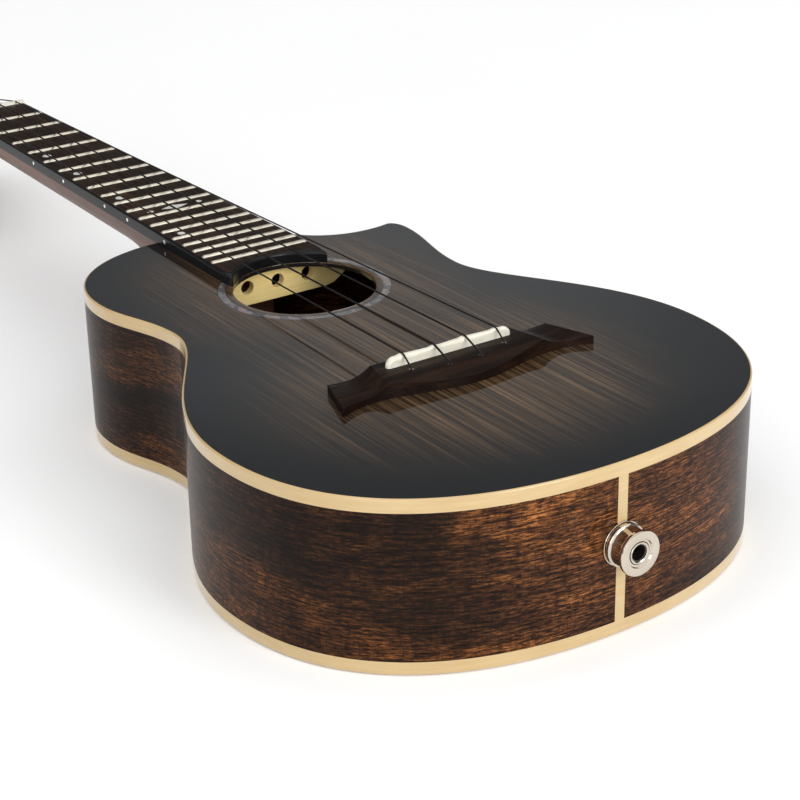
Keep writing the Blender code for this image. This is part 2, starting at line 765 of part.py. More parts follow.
def make_saddle(finish):
    """A bone saddle with round ends and a crest that steps back under each string."""
    half, radius = SADDLE_LENGTH / 2, SADDLE_WIDTH / 2
    low, high = TOP_Z + saddle_floor(), TOP_Z + SADDLE_TOP
    rows = []
    count = 22
    for i in range(count + 1):
        x = half * math.sin(math.pi / 2 * (2 * i / count - 1))
        to_end = max(half - abs(x), 0.02)
        width = radius * math.sqrt(min(to_end / radius, 1) * (2 - min(to_end / radius, 1)))
        width = max(width, 0.12)
        drop = 2.2 * (1 - min(to_end / 3.2, 1)) ** 2
        shift = 0.3 * radius * math.sin(2 * math.pi * x / (2 * STRING_SPACING))
        crest = high - drop
        rows.append([
            (x, SADDLE_Y - width, low),
            (x, SADDLE_Y - width, crest - 1.1),
            (x, SADDLE_Y - 0.55 * width + min(shift, 0) * width / radius, crest - 0.15),
            (x, SADDLE_Y + 0.55 * width + max(shift, 0) * width / radius, crest - 0.15),
            (x, SADDLE_Y + width, crest - 1.1),
            (x, SADDLE_Y + width, low),
        ])
    mesh_object("saddle", loft(rows), finish)


def make_piezo(finish):
    length, width, thickness = PIEZO
    top = TOP_Z + saddle_floor() - GAP
    low = (-length / 2, SADDLE_Y - width / 2, top - thickness)
    high = (length / 2, SADDLE_Y + width / 2, top)
    mesh_object("piezo_strip", box(low, high), finish)


def smooth_route(points, step):
    """Points every step along a smooth curve through the given ones."""
    knots = [Vector(p) for p in points]
    knots = [2 * knots[0] - knots[1]] + knots + [2 * knots[-1] - knots[-2]]
    route = []
    for a, b, c, d in zip(knots, knots[1:], knots[2:], knots[3:]):
        count = max(1, round((c - b).length / step))
        for i in range(count):
            t = i / count
            bend = 2 * a - 5 * b + 4 * c - d
            twist = -a + 3 * b - 3 * c + d
            route.append(0.5 * (2 * b + (c - a) * t + bend * t * t + twist * t ** 3))
    return route + [knots[-2]]


def make_lead(finish):
    """The pickup's lead, from under the saddle down through the soundboard to the jack."""
    top = TOP_Z + saddle_floor() - 2 * GAP - PIEZO[2] - GAP
    jack_end = jack_inner_end() + GAP
    points = [
        (LEAD_X, SADDLE_Y, top),
        (LEAD_X, SADDLE_Y, TOP_Z - 8),
        (LEAD_X + 1, SADDLE_Y - 4, TOP_Z - 17),
        (LEAD_X + 8, SADDLE_Y - 16, JACK_Z + 4),
        (LEAD_X + 19, jack_end + 22, JACK_Z - 3),
        (0, jack_end + 8, JACK_Z),
        (0, jack_end, JACK_Z),
    ]
    mesh_object("pickup_lead", tube(smooth_route(points, 7.5), LEAD_RADIUS, 6), finish)


# ---------------------------------------------------------------- jack


def jack_hole():
    shape = turned_to(rod(JACK_BARREL_RADIUS + GAP, -6, 30, JACK_SIDES), "xzy")
    return moved(shape, (0, -TAIL_LENGTH, JACK_Z))


def jack_inner_end():
    return -TAIL_LENGTH - JACK_PROTRUSION + JACK_LENGTH


def make_jack(nickel, brass):
    """Barrel with a blind bore, strap button outside, washer and nut inside the tail block."""
    mouth = JACK_PROTRUSION - 0.6
    step = -GAP
    back = JACK_PROTRUSION - JACK_LENGTH
    bore, neck, barrel = JACK_BORE_RADIUS, JACK_NECK_RADIUS, JACK_BARREL_RADIUS
    profile = [(0, back), (1.8, back), (1.8, back + 3), (4.4, back + 3)]
    profile += [(4.4, back + 6), (barrel, back + 7), (barrel, step)]
    profile += [(neck, step), (neck, mouth - 0.4), (neck - 0.4, mouth)]
    profile += [(bore + 0.3, mouth), (bore, mouth - 0.4), (bore, back + 10), (0, back + 10)]
    place = (0, -TAIL_LENGTH, JACK_Z)
    mesh_object("jack_barrel", outward_y(revolve(profile, JACK_SIDES)), nickel, place)
    rim = JACK_FLANGE_RADIUS
    inner = neck + GAP
    face = JACK_PROTRUSION
    profile = [(inner, GAP), (rim, GAP), (rim, 1.2), (rim - 0.9, 1.7)]
    profile += [(rim - 1.1, 3.0), (rim - 1.8, 4.6), (rim - 1.8, face - 3.0)]
    profile += [(rim, face - 1.5), (rim, face - 0.5)]
    profile += [(rim - 0.5, face), (inner + 1.5, face), (inner + 0.8, face - 1.0), (inner, face - 1.3)]
    shape = outward_y(revolve(profile, JACK_SIDES, ring=True))
    mesh_object("jack_strap_button", shape, nickel, place)
    seat = -(SIDE_THICKNESS + GAP + TAIL_BLOCK_THICKNESS + GAP)
    hole = barrel + GAP
    washer = [circle(JACK_WASHER_RADIUS, JACK_SIDES), circle(hole, JACK_SIDES)]
    mesh_object("jack_washer", outward_y(prism(washer, seat - 1.0, seat)), nickel, place)
    flats = JACK_NUT_FLATS / 2 / math.cos(math.pi / 6)
    nut = [circle(flats, 6), circle(hole, JACK_SIDES)]
    top = seat - 1.0 - GAP
    mesh_object("jack_nut", outward_y(prism(nut, top - 3.5, top)), brass, place)


def outward_y(shape):
    """A shape made about Z, laid so that its +Z end points out of the tail."""
    return [(x, -z, y) for x, y, z in shape[0]], shape[1]


# ---------------------------------------------------------------- fingerboard


def board_loop(margin):
    """The fingerboard's outline, which ends in two rounded points round the soundhole."""
    radius = HOLE_RADIUS + BOARD_END_GAP + margin
    start = SCALE_LENGTH - GAP
    edge = board_half(HOLE_Y + HOLE_RADIUS) - margin
    tip_x = edge - BOARD_TIP_ROUND
    end_angle = math.degrees(math.acos(tip_x / radius))
    tip = (tip_x, HOLE_Y + radius * math.sin(math.radians(end_angle)))
    turn_y = tip[1] + 2.6 * BOARD_TIP_ROUND
    right = [(board_half(start) - margin, start), (board_half(body_end()) - margin, body_end())]
    corner = bezier((edge, turn_y), (edge, turn_y - 3.5), (tip_x + 1.3, tip[1] - 1.2), tip, 5)
    bow = arc((0, HOLE_Y), radius, end_angle, 180 - end_angle, 14)
    left = list(reversed(mirror_path(right + corner)))
    return right + corner + bow + left


def make_fingerboard(wood, black):
    low = TOP_Z + GAP
    high = low + BOARD_THICKNESS
    inner = board_loop(BOARD_BINDING + GAP)
    board = mesh_object("fretboard", prism([inner], low, high), wood)
    frets = mesh_object("fretboard_frets", joined([fret_shape(i + 1, high) for i in range(FRETS)]))
    hole = HOLE_RADIUS + BOARD_END_GAP + BOARD_BINDING + GAP + FRET_INSET
    cut(frets, rod(hole, low, high + 2 * FRET_HEIGHT, HOLE_SIDES), (0, HOLE_Y, 0))
    combine(board, frets, "UNION")
    outer = board_loop(0)
    shape = prism([outer + list(reversed(board_loop(BOARD_BINDING)))], low, high)
    mesh_object("fretboard_binding", shape, black)


def fret_shape(number, board_top):
    """A crowned wire across the board, its tang sunk into the wood, short of the binding."""
    y = fret_y(number)
    half = board_half(y) - BOARD_BINDING - GAP - FRET_INSET
    profile = [(-1, -0.5), (1, -0.5), (0.8, 0.65), (0, 1.0), (-0.8, 0.65)]
    rows = []
    for x in (-half, half):
        rows.append([(x, y + a * FRET_WIDTH / 2, board_top + b * FRET_HEIGHT) for a, b in profile])
    return loft(rows)


def joined(shapes):
    """Several shapes as one mesh."""
    vertices, faces = [], []
    for shape in shapes:
        base = len(vertices)
        vertices += shape[0]
        faces += [tuple(i + base for i in face) for face in shape[1]]
    return vertices, faces


def nut_x(number):
    return (number - 1.5) * NUT_SPACING


def make_nut(finish):
    half = NUT_WIDTH / 2
    low, high = GAP, NUT_HEIGHT
    profile = [(0, low), (NUT_THICKNESS, low), (NUT_THICKNESS, high - 1.6)]
    profile += [(NUT_THICKNESS - 1.4, high - 0.3), (1.4, high), (0, high - 0.2)]
    shape = turned_to(prism([profile], -half, half), "yzx")
    obj = mesh_object("nut", shape, finish, (0, SCALE_LENGTH, TOP_Z))
    for i in range(4):
        cut(obj, nut_slot(i), (0, SCALE_LENGTH, TOP_Z))


def nut_slot(number):
    """A slot that is level at its front edge, then falls and turns towards the string's post."""
    half = STRING_RADII[number] + 0.15
    leave = Vector((nut_x(number), NUT_CREST, nut_groove()))
    along = winding(number)[0] - Vector((0, SCALE_LENGTH, TOP_Z)) - leave
    beyond = leave + along * (NUT_THICKNESS + 1 - NUT_CREST) / along.y
    rows = []
    for point in (leave - Vector((0, NUT_CREST + 1, 0)), leave, beyond):
        x, y, z = point
        open_top = NUT_HEIGHT + 1
        corners = ((-half, z - half), (half, z - half), (half, open_top), (-half, open_top))
        rows.append([(x + cx, y, cz) for cx, cz in corners])
    return loft(rows)


def nut_groove():
    """Height of the strings' centres at the nut, above the soundboard."""
    return NUT_HEIGHT - 0.3


# ---------------------------------------------------------------- neck and headstock


def d_arc(half, edge, spine, count=8):
    """A neck section: an arch from one edge point, under the spine, to the other."""
    points = []
    for i in range(count + 1):
        angle = math.pi * i / count
        across = math.cos(angle)
        down = math.sin(angle) ** 0.85
        x = half * math.copysign(abs(across) ** 0.9, across)
        points.append((x, edge[0] + (spine[0] - edge[0]) * down, edge[1] + (spine[1] - edge[1]) * down))
    return points


def neck_depth(y):
    share = (SCALE_LENGTH - y) / (SCALE_LENGTH - body_end())
    return NECK_DEPTH_NUT + (NECK_DEPTH_HEEL - NECK_DEPTH_NUT) * share


def neck_rows():
    """Sections from the nut along the shaft, then fanned round the corner and down the heel."""
    face = body_end() + GAP
    shaft_end = face + HEEL_START
    rows = []
    for y in np.linspace(SCALE_END + 0.3, shaft_end, 6):
        spine = (y, TOP_Z - neck_depth(y))
        rows.append(d_arc(board_half(min(y, SCALE_LENGTH)), (y, TOP_Z), spine))
    start = (shaft_end, TOP_Z - neck_depth(shaft_end))
    cap = (face + HEEL_LENGTH, HEEL_CAP_Z)
    steps = 12
    shaft_handle = (face + 0.45 * HEEL_START, start[1] - 0.5)
    spine = bezier(start, shaft_handle, (cap[0] + 1.5, start[1] - 14), cap, steps) + [cap]
    for i, point in enumerate(spine[1:], 1):
        share = i / steps
        if share <= 0.5:
            edge = (shaft_end + (face - shaft_end) * share / 0.5, TOP_Z)
            half = board_half(edge[0])
        else:
            fall = (share - 0.5) / 0.5
            edge = (face, TOP_Z + (HEEL_CAP_Z - TOP_Z) * fall)
            half = HEEL_CAP_HALF + (board_half(face) - HEEL_CAP_HALF) * (1 - fall) ** 1.4
        rows.append(d_arc(half, edge, point))
    return rows


def head_half_outline():
    """The headstock's right edge in its own plane, from the nut to the crown's middle."""
    nut = (NUT_WIDTH / 2, 0.0)
    shoulder = (HEAD_SHOULDER_HALF, 26.0)
    crown = (HEAD_CROWN_HALF, HEAD_LENGTH - 14.0)
    peak = (0.0, HEAD_LENGTH)
    dip = (15.0, HEAD_LENGTH - 5.0)
    flare = bezier(nut, (nut[0] + 0.5, 12.0), (shoulder[0] - 6.0, 17.0), shoulder, 6)
    side = bezier(shoulder, (shoulder[0] + 3.0, 31.0), (crown[0] + 0.6, crown[1] - 30.0), crown, 4)
    corner = bezier(crown, (crown[0] - 0.3, crown[1] + 7.0), (dip[0] + 11.0, dip[1] + 1.0), dip, 5)
    top = bezier(dip, (dip[0] - 6.0, dip[1] - 0.5), (peak[0] + 7.0, peak[1]), peak, 4)
    return flare + side + corner + top + [peak]


def head_loop(start):
    right = [(x, max(y, start)) for x, y in head_half_outline()]
    return right + list(reversed(mirror_path(right)))[1:]


def head_frame():
    rotation = (-math.radians(HEAD_ANGLE), 0, 0)
    return empty("headstock_frame", (0, SCALE_END - HEAD_SETBACK, TOP_Z), rotation)


def bushing_hole():
    return POST_RADIUS + RUN + BUSHING_WALL + GAP


def make_neck(finish, head):
    obj = mesh_object("neck", loft(neck_rows()), finish)
    fuse(obj, prism([head_loop(0)], -HEAD_THICKNESS, 0), parent=head)
    for x, y in post_places():
        cut(obj, rod(bushing_hole(), -HEAD_THICKNESS - 2, 2, SHAFT_SIDES), (x, y, 0), head)


def make_headplate(finish, head):
    loop = [(x * 0.985, y) for x, y in head_loop(1.6)]
    obj = mesh_object("headplate", prism([loop], GAP, GAP + HEADPLATE_THICKNESS), finish, parent=head)
    for x, y in post_places():
        cut(obj, rod(bushing_hole(), -2, 5, SHAFT_SIDES), (x, y, 0), head)


def post_places():
    """Posts in string order: bass outer, bass inner, treble inner, treble outer."""
    (near_y, far_y), (near_x, far_x) = POST_YS, POST_XS
    return [(-near_x, near_y), (-far_x, far_y), (far_x, far_y), (near_x, near_y)]


# ---------------------------------------------------------------- tuning machines


def worm_shape():
    """A worm along X: one thread wound round its root, with plain journals at both ends."""
    around = SHAFT_SIDES
    turns = WORM_LENGTH / WORM_PITCH
    root, outer = WORM_ROOT, WORM_OUTER
    profile = [(0.30, root), (0.70, root), (0.86, outer), (1.14, outer)]
    rings = math.ceil(turns) + 2
    vertices, faces = [], []
    start = -rings * WORM_PITCH / 2
    columns = rings * len(profile)
    for j in range(around):
        angle = 2 * math.pi * j / around
        for k in range(columns):
            share, radius = profile[k % len(profile)]
            x = start + WORM_PITCH * (k // len(profile) + share + j / around)
            vertices.append((x, radius * math.cos(angle), radius * math.sin(angle)))
    shift = len(profile)
    for j in range(around):
        following = (j + 1) % around
        for k in range(columns - 1):
            offset = shift if following == 0 else 0
            if k + 1 + offset >= columns:
                continue
            a = j * columns + k
            b = following * columns + k + offset
            faces.append((a, a + 1, b + 1, b))
    return cap_open_ends(vertices, faces)


def cap_open_ends(vertices, faces):
    """Closes a tube's two open ends with fans to points on its axis, and drops unused points."""
    used = {}
    for face in faces:
        for a, b in zip(face, face[1:] + face[:1]):
            used[(a, b)] = used.get((a, b), 0) + 1
    border = {b: a for a, b in used if (b, a) not in used}
    vertices = list(vertices)
    while border:
        first = next(iter(border))
        loop = [first]
        while border[loop[-1]] != first:
            loop.append(border[loop[-1]])
        for point in loop:
            del border[point]
        middle = sum(vertices[i][0] for i in loop) / len(loop)
        vertices.append((middle, 0.0, 0.0))
        for a, b in zip(loop, loop[1:] + loop[:1]):
            faces.append((a, b, len(vertices) - 1))
    kept = sorted({i for face in faces for i in face})
    renumber = {old: new for new, old in enumerate(kept)}
    return [vertices[i] for i in kept], [tuple(renumber[i] for i in face) for face in faces]


def wheel_shape():
    """The worm wheel about Z: teeth slanted to the worm's lead angle."""
    slant = WORM_PITCH / (2 * math.pi * WORM_PITCH_RADIUS)
    outer = WHEEL_PITCH_RADIUS + 0.95 * GEAR_MODULE
    root = WHEEL_PITCH_RADIUS - 1.15 * GEAR_MODULE
    tooth = 2 * math.pi / WHEEL_TEETH
    rows = []
    for z in (-WHEEL_THICKNESS / 2, WHEEL_THICKNESS / 2):
        twist = slant * z / WHEEL_PITCH_RADIUS
        ring = []
        for i in range(WHEEL_TEETH):
            for share, radius in ((-0.29, root), (-0.13, outer), (0.13, outer), (0.29, root)):
                angle = (i + share) * tooth + twist
                ring.append((radius * math.cos(angle), radius * math.sin(angle), z))
        rows.append(ring)
    return loft(rows)


def plate_loop():
    """The base plate: straight along the gear pair, round at the post's end."""
    radius = WHEEL_PITCH_RADIUS + 1.6
    half = WORM_LENGTH / 2 + GAP + LUG_THICKNESS + 1.2
    foot = -GEAR_CENTRES - 4.5
    crown = arc((0, 3.0), radius, 0, 180, 8)
    right = [(half - 1.5, foot), (half, foot + 1.5), (half, -GEAR_CENTRES + 3.5)]
    return crown + list(reversed(mirror_path(right))) + right


def lug_loop():
    """A bearing lug from the plate round the worm's axis, in (y, z) about that axis."""
    rise = WORM_DROP - GAP - PLATE_THICKNESS / 2
    radius = SHAFT_RADIUS + RUN + 1.1
    bottom = arc((0, 0), radius, 180, 360, 5)
    return bottom + [(radius + 0.4, rise), (-radius - 0.4, rise)]


def make_tuner(number, place, head, metals):
    """One machine: base plate with two lugs, worm and shaft, post with worm wheel, bushing, button."""
    nickel, brass, pearl = metals
    side = 1 if place[0] > 0 else -1
    name = "tuner_" + str(number) + "_"
    back = -HEAD_THICKNESS
    frame = empty(name + "frame", (*place, back), parent=head)
    hole = circle(POST_RADIUS + RUN, POST_SIDES)
    plate = prism([plate_loop(), hole], -GAP - PLATE_THICKNESS, -GAP)
    base = mesh_object(name + "plate", plate, nickel, parent=frame)
    axis = (0, -GEAR_CENTRES, -WORM_DROP)
    bore = circle(SHAFT_RADIUS + RUN, SHAFT_SIDES)
    for end in (-1, 1):
        near = WORM_LENGTH / 2 + GAP
        span = sorted((end * near, end * (near + LUG_THICKNESS)))
        fuse(base, turned_to(prism([lug_loop(), bore], *span), "yzx"), axis, frame)
    make_worm(name + "worm", side, axis, frame, nickel)
    make_button(name + "button", side, axis, frame, pearl)
    make_post(name + "post", side, frame, brass)
    make_bushing(name + "bushing", frame, nickel)


def shaft_ends():
    """Where the shaft starts behind its inner lug, and where the button's collar starts."""
    inner = WORM_LENGTH / 2 + GAP + LUG_THICKNESS + 1.2
    outer = HEAD_CROWN_HALF - min(POST_XS) + BUTTON_CLEARANCE
    return -inner, outer


def make_worm(name, side, axis, frame, finish):
    inner, outer = shaft_ends()
    half = WORM_LENGTH / 2
    obj = mesh_object(name, mirrored(worm_shape(), side), finish, axis, frame)
    inside = mirrored(turned_to(rod(WORM_OUTER + 1, -half, half, 16), "yzx"), side)
    helper = mesh_object(name + "_limits", inside, None, axis, frame)
    combine(obj, helper, "INTERSECT")
    shaft = turned_to(rod(SHAFT_RADIUS, inner, outer + BUTTON_SOCKET, SHAFT_SIDES), "yzx")
    fuse(obj, mirrored(shaft, side), axis, frame)


def make_button(name, side, axis, frame, finish):
    """A flattened oval button with a round collar, pushed on the shaft's end."""
    _, start = shaft_ends()
    rows = []
    collar = SHAFT_RADIUS + 1.3
    outline = [(0.0, collar, collar), (2.4, collar, collar), (3.2, 3.6, 2.6)]
    for i in range(5):
        angle = math.pi * (0.14 + 0.84 * i / 4)
        x = 3.4 + (BUTTON_LENGTH - 3.4) * (1 - math.cos(angle)) / 2
        swell = math.sin(angle) ** 0.55
        outline.append((x, BUTTON_HALF_WIDTH * swell, BUTTON_HALF_THICKNESS * swell ** 1.3))
    for x, wide, thick in outline:
        ring = []
        for k in range(SHAFT_SIDES):
            angle = 2 * math.pi * k / SHAFT_SIDES
            ring.append((start + x, wide * math.cos(angle), thick * math.sin(angle)))
        rows.append(ring)
    obj = mesh_object(name, mirrored(loft(rows), side), finish, axis, frame)
    end = start + BUTTON_SOCKET + GAP
    socket = turned_to(rod(SHAFT_RADIUS + GAP, start - 1, end, SHAFT_SIDES), "yzx")
    cut(obj, mirrored(socket, side), axis, frame)


def make_post(name, side, frame, finish):
    """The string post with its worm wheel fixed behind the plate."""
    top = HEAD_THICKNESS + GAP + HEADPLATE_THICKNESS + POST_HEIGHT
    waist_low, waist_high = top - 7.5, top - 2.5
    radius = POST_RADIUS
    low = -WORM_DROP - WHEEL_THICKNESS / 2 - 1.2
    waist = radius - 0.35
    profile = [(0, low), (radius - 0.4, low), (radius, low + 0.4), (radius, waist_low)]
    profile += [(waist, waist_low + 1), (waist, waist_high), (radius, waist_high + 0.8)]
    profile += [(radius, top - 0.6), (radius - 0.6, top), (0, top)]
    obj = mesh_object(name, revolve(profile, POST_SIDES), finish, (0, 0, 0), frame)
    fuse(obj, mirrored(wheel_shape(), side), (0, 0, -WORM_DROP), frame)
    hole = turned_to(rod(0.8, -6, 6, 8), "yzx")
    cut(obj, hole, (0, 0, string_hole_height()), frame)


def string_hole_height():
    """The post's cross hole above the headstock's back."""
    return HEAD_THICKNESS + GAP + HEADPLATE_THICKNESS + POST_HEIGHT - 5.0


def make_bushing(name, frame, finish):
    inner = POST_RADIUS + RUN
    outer = inner + BUSHING_WALL
    face = HEAD_THICKNESS + GAP + HEADPLATE_THICKNESS + GAP
    rim = outer + BUSHING_FLANGE
    profile = [(inner, face - 8), (outer, face - 8), (outer, face), (rim, face)]
    profile += [(rim, face + 0.6), (inner, face + 1.5)]
    mesh_object(name, revolve(profile, POST_SIDES, ring=True), finish, (0, 0, 0), frame)


# ---------------------------------------------------------------- strings


def head_point(x, y, z):
    """A place in the headstock's plane, in the body's axes."""
    turn = Matrix.Rotation(-math.radians(HEAD_ANGLE), 3, "X")
    return turn @ Vector((x, y, z)) + Vector((0, SCALE_END - HEAD_SETBACK, TOP_Z))


def winding(number):
    """Turns round the post, from where the string first meets it, ending beside its cross hole."""
    post_x, post_y = post_places()[number]
    side = 1 if post_x > 0 else -1
    radius = (POST_RADIUS + STRING_RADII[number]) / math.cos(math.pi / WINDING_STEPS) + GAP / 2
    run = math.hypot(post_x - nut_x(number), post_y)
    lean = math.atan2(abs(post_x) - abs(nut_x(number)), post_y) - math.asin(radius / run)
    start_angle = math.pi - lean if side > 0 else lean
    direction = -side
    pitch = 2 * STRING_RADII[number] + 0.2
    high = string_hole_height() - HEAD_THICKNESS - 0.6
    steps = round(STRING_TURNS * WINDING_STEPS)
    points = []
    for i in range(steps + 1):
        turns = i / WINDING_STEPS
        angle = start_angle + direction * 2 * math.pi * turns
        x = post_x + radius * math.cos(angle)
        y = post_y + radius * math.sin(angle)
        points.append(head_point(x, y, high - pitch * (STRING_TURNS - turns)))
    return points


def make_string(number, finish):
    """Knot under the plate, up through the bridge, over saddle and nut, and round its post."""
    x, y = string_x(number), string_hole_y(number)
    radius = STRING_RADII[number]
    bottom = TOP_Z - TOP_THICKNESS - GAP - BRIDGE_PLATE[2] - 3.0
    over_saddle = TOP_Z + SADDLE_TOP + radius + GAP / 2
    top = TOP_Z + BRIDGE_TOP
    route = [(x, y, bottom), (x, y, top - 0.6), (x, y + 0.35, top + 0.5)]
    route += [(x, SADDLE_Y - SADDLE_WIDTH / 2, over_saddle - 0.2), (x, SADDLE_Y, over_saddle + 0.05)]
    route += [(x, SADDLE_Y + 1.5, over_saddle)]
    at_nut = TOP_Z + nut_groove()
    route += [(nut_x(number), SCALE_LENGTH, at_nut), (nut_x(number), SCALE_LENGTH + NUT_CREST, at_nut)]
    route += winding(number)
    mesh_object("string_" + str(number + 1), tube(route, radius, 5), finish)


# ---------------------------------------------------------------- the instrument


def main():
    clear_scene()
    top_wood = material("stained_top", (0.05, 0.043, 0.04), 0.15)
    side_wood = material("figured_side", (0.16, 0.07, 0.035), 0.18)
    spruce = material("spruce", (0.72, 0.53, 0.3), 0.6)
    mahogany = material("mahogany", (0.25, 0.1, 0.055), 0.4)
    rosewood = material("rosewood", (0.06, 0.03, 0.022), 0.45)
    cream = material("cream_plastic", (0.85, 0.72, 0.45), 0.25)
    black = material("black_plastic", (0.012, 0.012, 0.012), 0.25)
    bone = material("bone", (0.85, 0.82, 0.72), 0.35)
    shell = material("shell", (0.35, 0.33, 0.4), 0.2)
    nylon = material("black_nylon", (0.015, 0.012, 0.012), 0.3)
    nickel = material("nickel", (0.75, 0.72, 0.66), 0.15, 1.0)
    brass = material("brass", (0.72, 0.53, 0.24), 0.25, 1.0)
    pearl = material("pearl_button", (0.82, 0.78, 0.68), 0.3)
    rubber = material("lead_jacket", (0.02, 0.02, 0.02), 0.6)

    make_soundboard(top_wood)
    make_rosette(shell)
    make_back(side_wood)
    make_sides(side_wood)
    make_bindings(cream)
    make_grafts(cream)
    make_blocks(mahogany)
    make_linings(mahogany)
    make_top_braces(spruce)
    make_fan_braces(spruce)
    make_bridge_plate(rosewood)
    make_back_braces(mahogany)
    make_bridge(rosewood)
    make_saddle(bone)
    make_piezo(nickel)
    make_lead(rubber)
    make_jack(nickel, brass)
    make_fingerboard(rosewood, black)
    make_nut(bone)
    head = head_frame()
    make_neck(mahogany, head)
    make_headplate(rosewood, head)
    for i, place in enumerate(post_places()):
        make_tuner(i + 1, place, head, (nickel, brass, pearl))
        make_string(i, nylon)


main()
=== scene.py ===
"""Looks of the tenor ukulele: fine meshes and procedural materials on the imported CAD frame.

Lengths are millimetres and become metres where a piece is made. X runs across the body and is
positive on the treble side, Y runs from tail to head and is 0 at the saddle, Z runs up from the back.
"""

import math

import bmesh
import bpy
import numpy as np
from mathutils import Matrix, Vector
from mathutils.geometry import tessellate_polygon
from mathutils.kdtree import KDTree


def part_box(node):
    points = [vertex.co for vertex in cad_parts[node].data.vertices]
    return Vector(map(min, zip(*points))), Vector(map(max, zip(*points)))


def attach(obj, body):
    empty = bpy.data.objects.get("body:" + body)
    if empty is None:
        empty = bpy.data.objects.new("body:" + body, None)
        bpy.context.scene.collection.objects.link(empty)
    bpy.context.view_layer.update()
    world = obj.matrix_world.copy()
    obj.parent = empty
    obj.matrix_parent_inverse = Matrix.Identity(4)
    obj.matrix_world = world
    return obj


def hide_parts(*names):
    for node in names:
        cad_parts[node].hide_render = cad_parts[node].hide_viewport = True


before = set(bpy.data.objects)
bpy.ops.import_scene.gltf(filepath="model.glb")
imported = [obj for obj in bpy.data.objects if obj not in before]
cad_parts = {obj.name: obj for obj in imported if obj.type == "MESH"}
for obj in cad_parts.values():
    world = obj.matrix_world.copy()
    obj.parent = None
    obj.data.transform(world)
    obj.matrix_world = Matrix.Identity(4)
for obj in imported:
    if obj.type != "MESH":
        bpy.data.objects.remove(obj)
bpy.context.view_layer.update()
SCENE = bpy.context.scene

MM = 0.001
BODY = "instrument"
GAP = 0.3  # between CAD faces that touch on the real instrument


def edges(node):
    """Lowest and highest corner of a CAD node in millimetres."""
    low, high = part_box(node)
    return low / MM, high / MM


# ---- sizes

BODY_LOW, BODY_HIGH = edges("binding_top")
TOP_Z = BODY_HIGH.z
TAIL_LENGTH = -BODY_LOW.y
LOWER_HALF = BODY_HIGH.x
LOWER = (LOWER_HALF, -14.0)  # widest or narrowest places of the outline
WAIST = (70.8, 91.5)
UPPER = (80.8, 142.0)
HORN = (79.6, 145.0)
HORN_TIP = (74.5, 153.6)
HORN_DIP = (46.5, 147.0)
SHOULDER_HALF = 26.0
BODY_END = BODY_HIGH.y

BINDING_WIDTH = 1.8
BINDING_HEIGHT = 5.4
BINDING_ROUND = 0.8
GRAFT_HALF = edges("end_graft_upper")[1].x
SIDE_THICKNESS = 2.0
TOP_THICKNESS = 2.0
BACK_THICKNESS = edges("back_plate")[1].z

HOLE_Y = 105.9
HOLE_RADIUS = 30.8
RING_INNER, RING_OUTER = 33.6, 37.5
RING_LINE = 0.35  # dark line on each side of the shell ring
RING_DEPTH = 0.6

SCALE_LENGTH = 430.0
NUT_THICKNESS = 5.0
NUT_WIDTH = 38.4
JOIN_WIDTH = 49.0
BOARD_TOP = edges("fretboard_binding")[1].z
BOARD_EDGE = 1.2
BOARD_TIP_ROUND = 2.2
FRETS = 19

BRIDGE_HALF, BRIDGE_SLANT = 55.6, 0.324
BRIDGE_FRONT, BRIDGE_REAR, BRIDGE_BELLY = 5.8, -12.8, 7.0
BRIDGE_TOP, BRIDGE_WING, BRIDGE_RIDGE = 6.45, 2.9, 0.63
SADDLE_HALF, SADDLE_WIDTH, SADDLE_Y = 29.4, 3.0, -0.5
SADDLE_TOP = edges("saddle")[1].z - TOP_Z
STRING_SPACING = 14.7
STRING_HOLE_YS = (-6.9, -11.7)
STRING_RADII = (0.36, 0.44, 0.40, 0.34)

JACK_Z = TOP_Z - 32.3
JACK_REACH = 10.5  # out of the tail
JACK_LENGTH = 48.0
JACK_RIM, JACK_BARREL = 8.8, 5.9

HEAD_ANGLE = math.radians(13.0)
HEAD_LENGTH = 132.0
HEAD_THICKNESS = 14.0
HEAD_SHOULDER_HALF, HEAD_CROWN_HALF = 30.0, 34.0
VENEER_THICKNESS = 1.8
HEAD_BEND = Vector((0, SCALE_LENGTH + NUT_THICKNESS - 0.4, TOP_Z))
HEAD_FRAME = Matrix.Translation(HEAD_BEND) @ Matrix.Rotation(-HEAD_ANGLE, 4, "X")
POSTS = ((-19.5, 40.0), (-21.5, 86.0), (21.5, 86.0), (19.5, 40.0))
POST_RADIUS = 3.0
POST_TOP = HEAD_THICKNESS + GAP + VENEER_THICKNESS + 12.5
POST_HOLE_DROP = 5.0  # of the string's cross hole below the post's top
NUT_HEIGHT = 6.9
NUT_SPACING = 9.5


# ---- curves and solids


def bezier(start, start_handle, end_handle, end, count):
    corners = [np.array(p, float) for p in (start, start_handle, end_handle, end)]
    points = []
    for i in range(count):
        t = i / count
        weights = ((1 - t) ** 3, 3 * t * (1 - t) ** 2, 3 * t * t * (1 - t), t ** 3)
        points.append(tuple(sum(w * c for w, c in zip(weights, corners))))
    return points


def arc(centre, radius, start, end, count):
    angles = [math.radians(start + (end - start) * i / count) for i in range(count + 1)]
    return [(centre[0] + radius * math.cos(a), centre[1] + radius * math.sin(a)) for a in angles]


def circle(radius, count=96, centre=(0, 0)):
    return arc(centre, radius, 0, 360, count)[:-1]


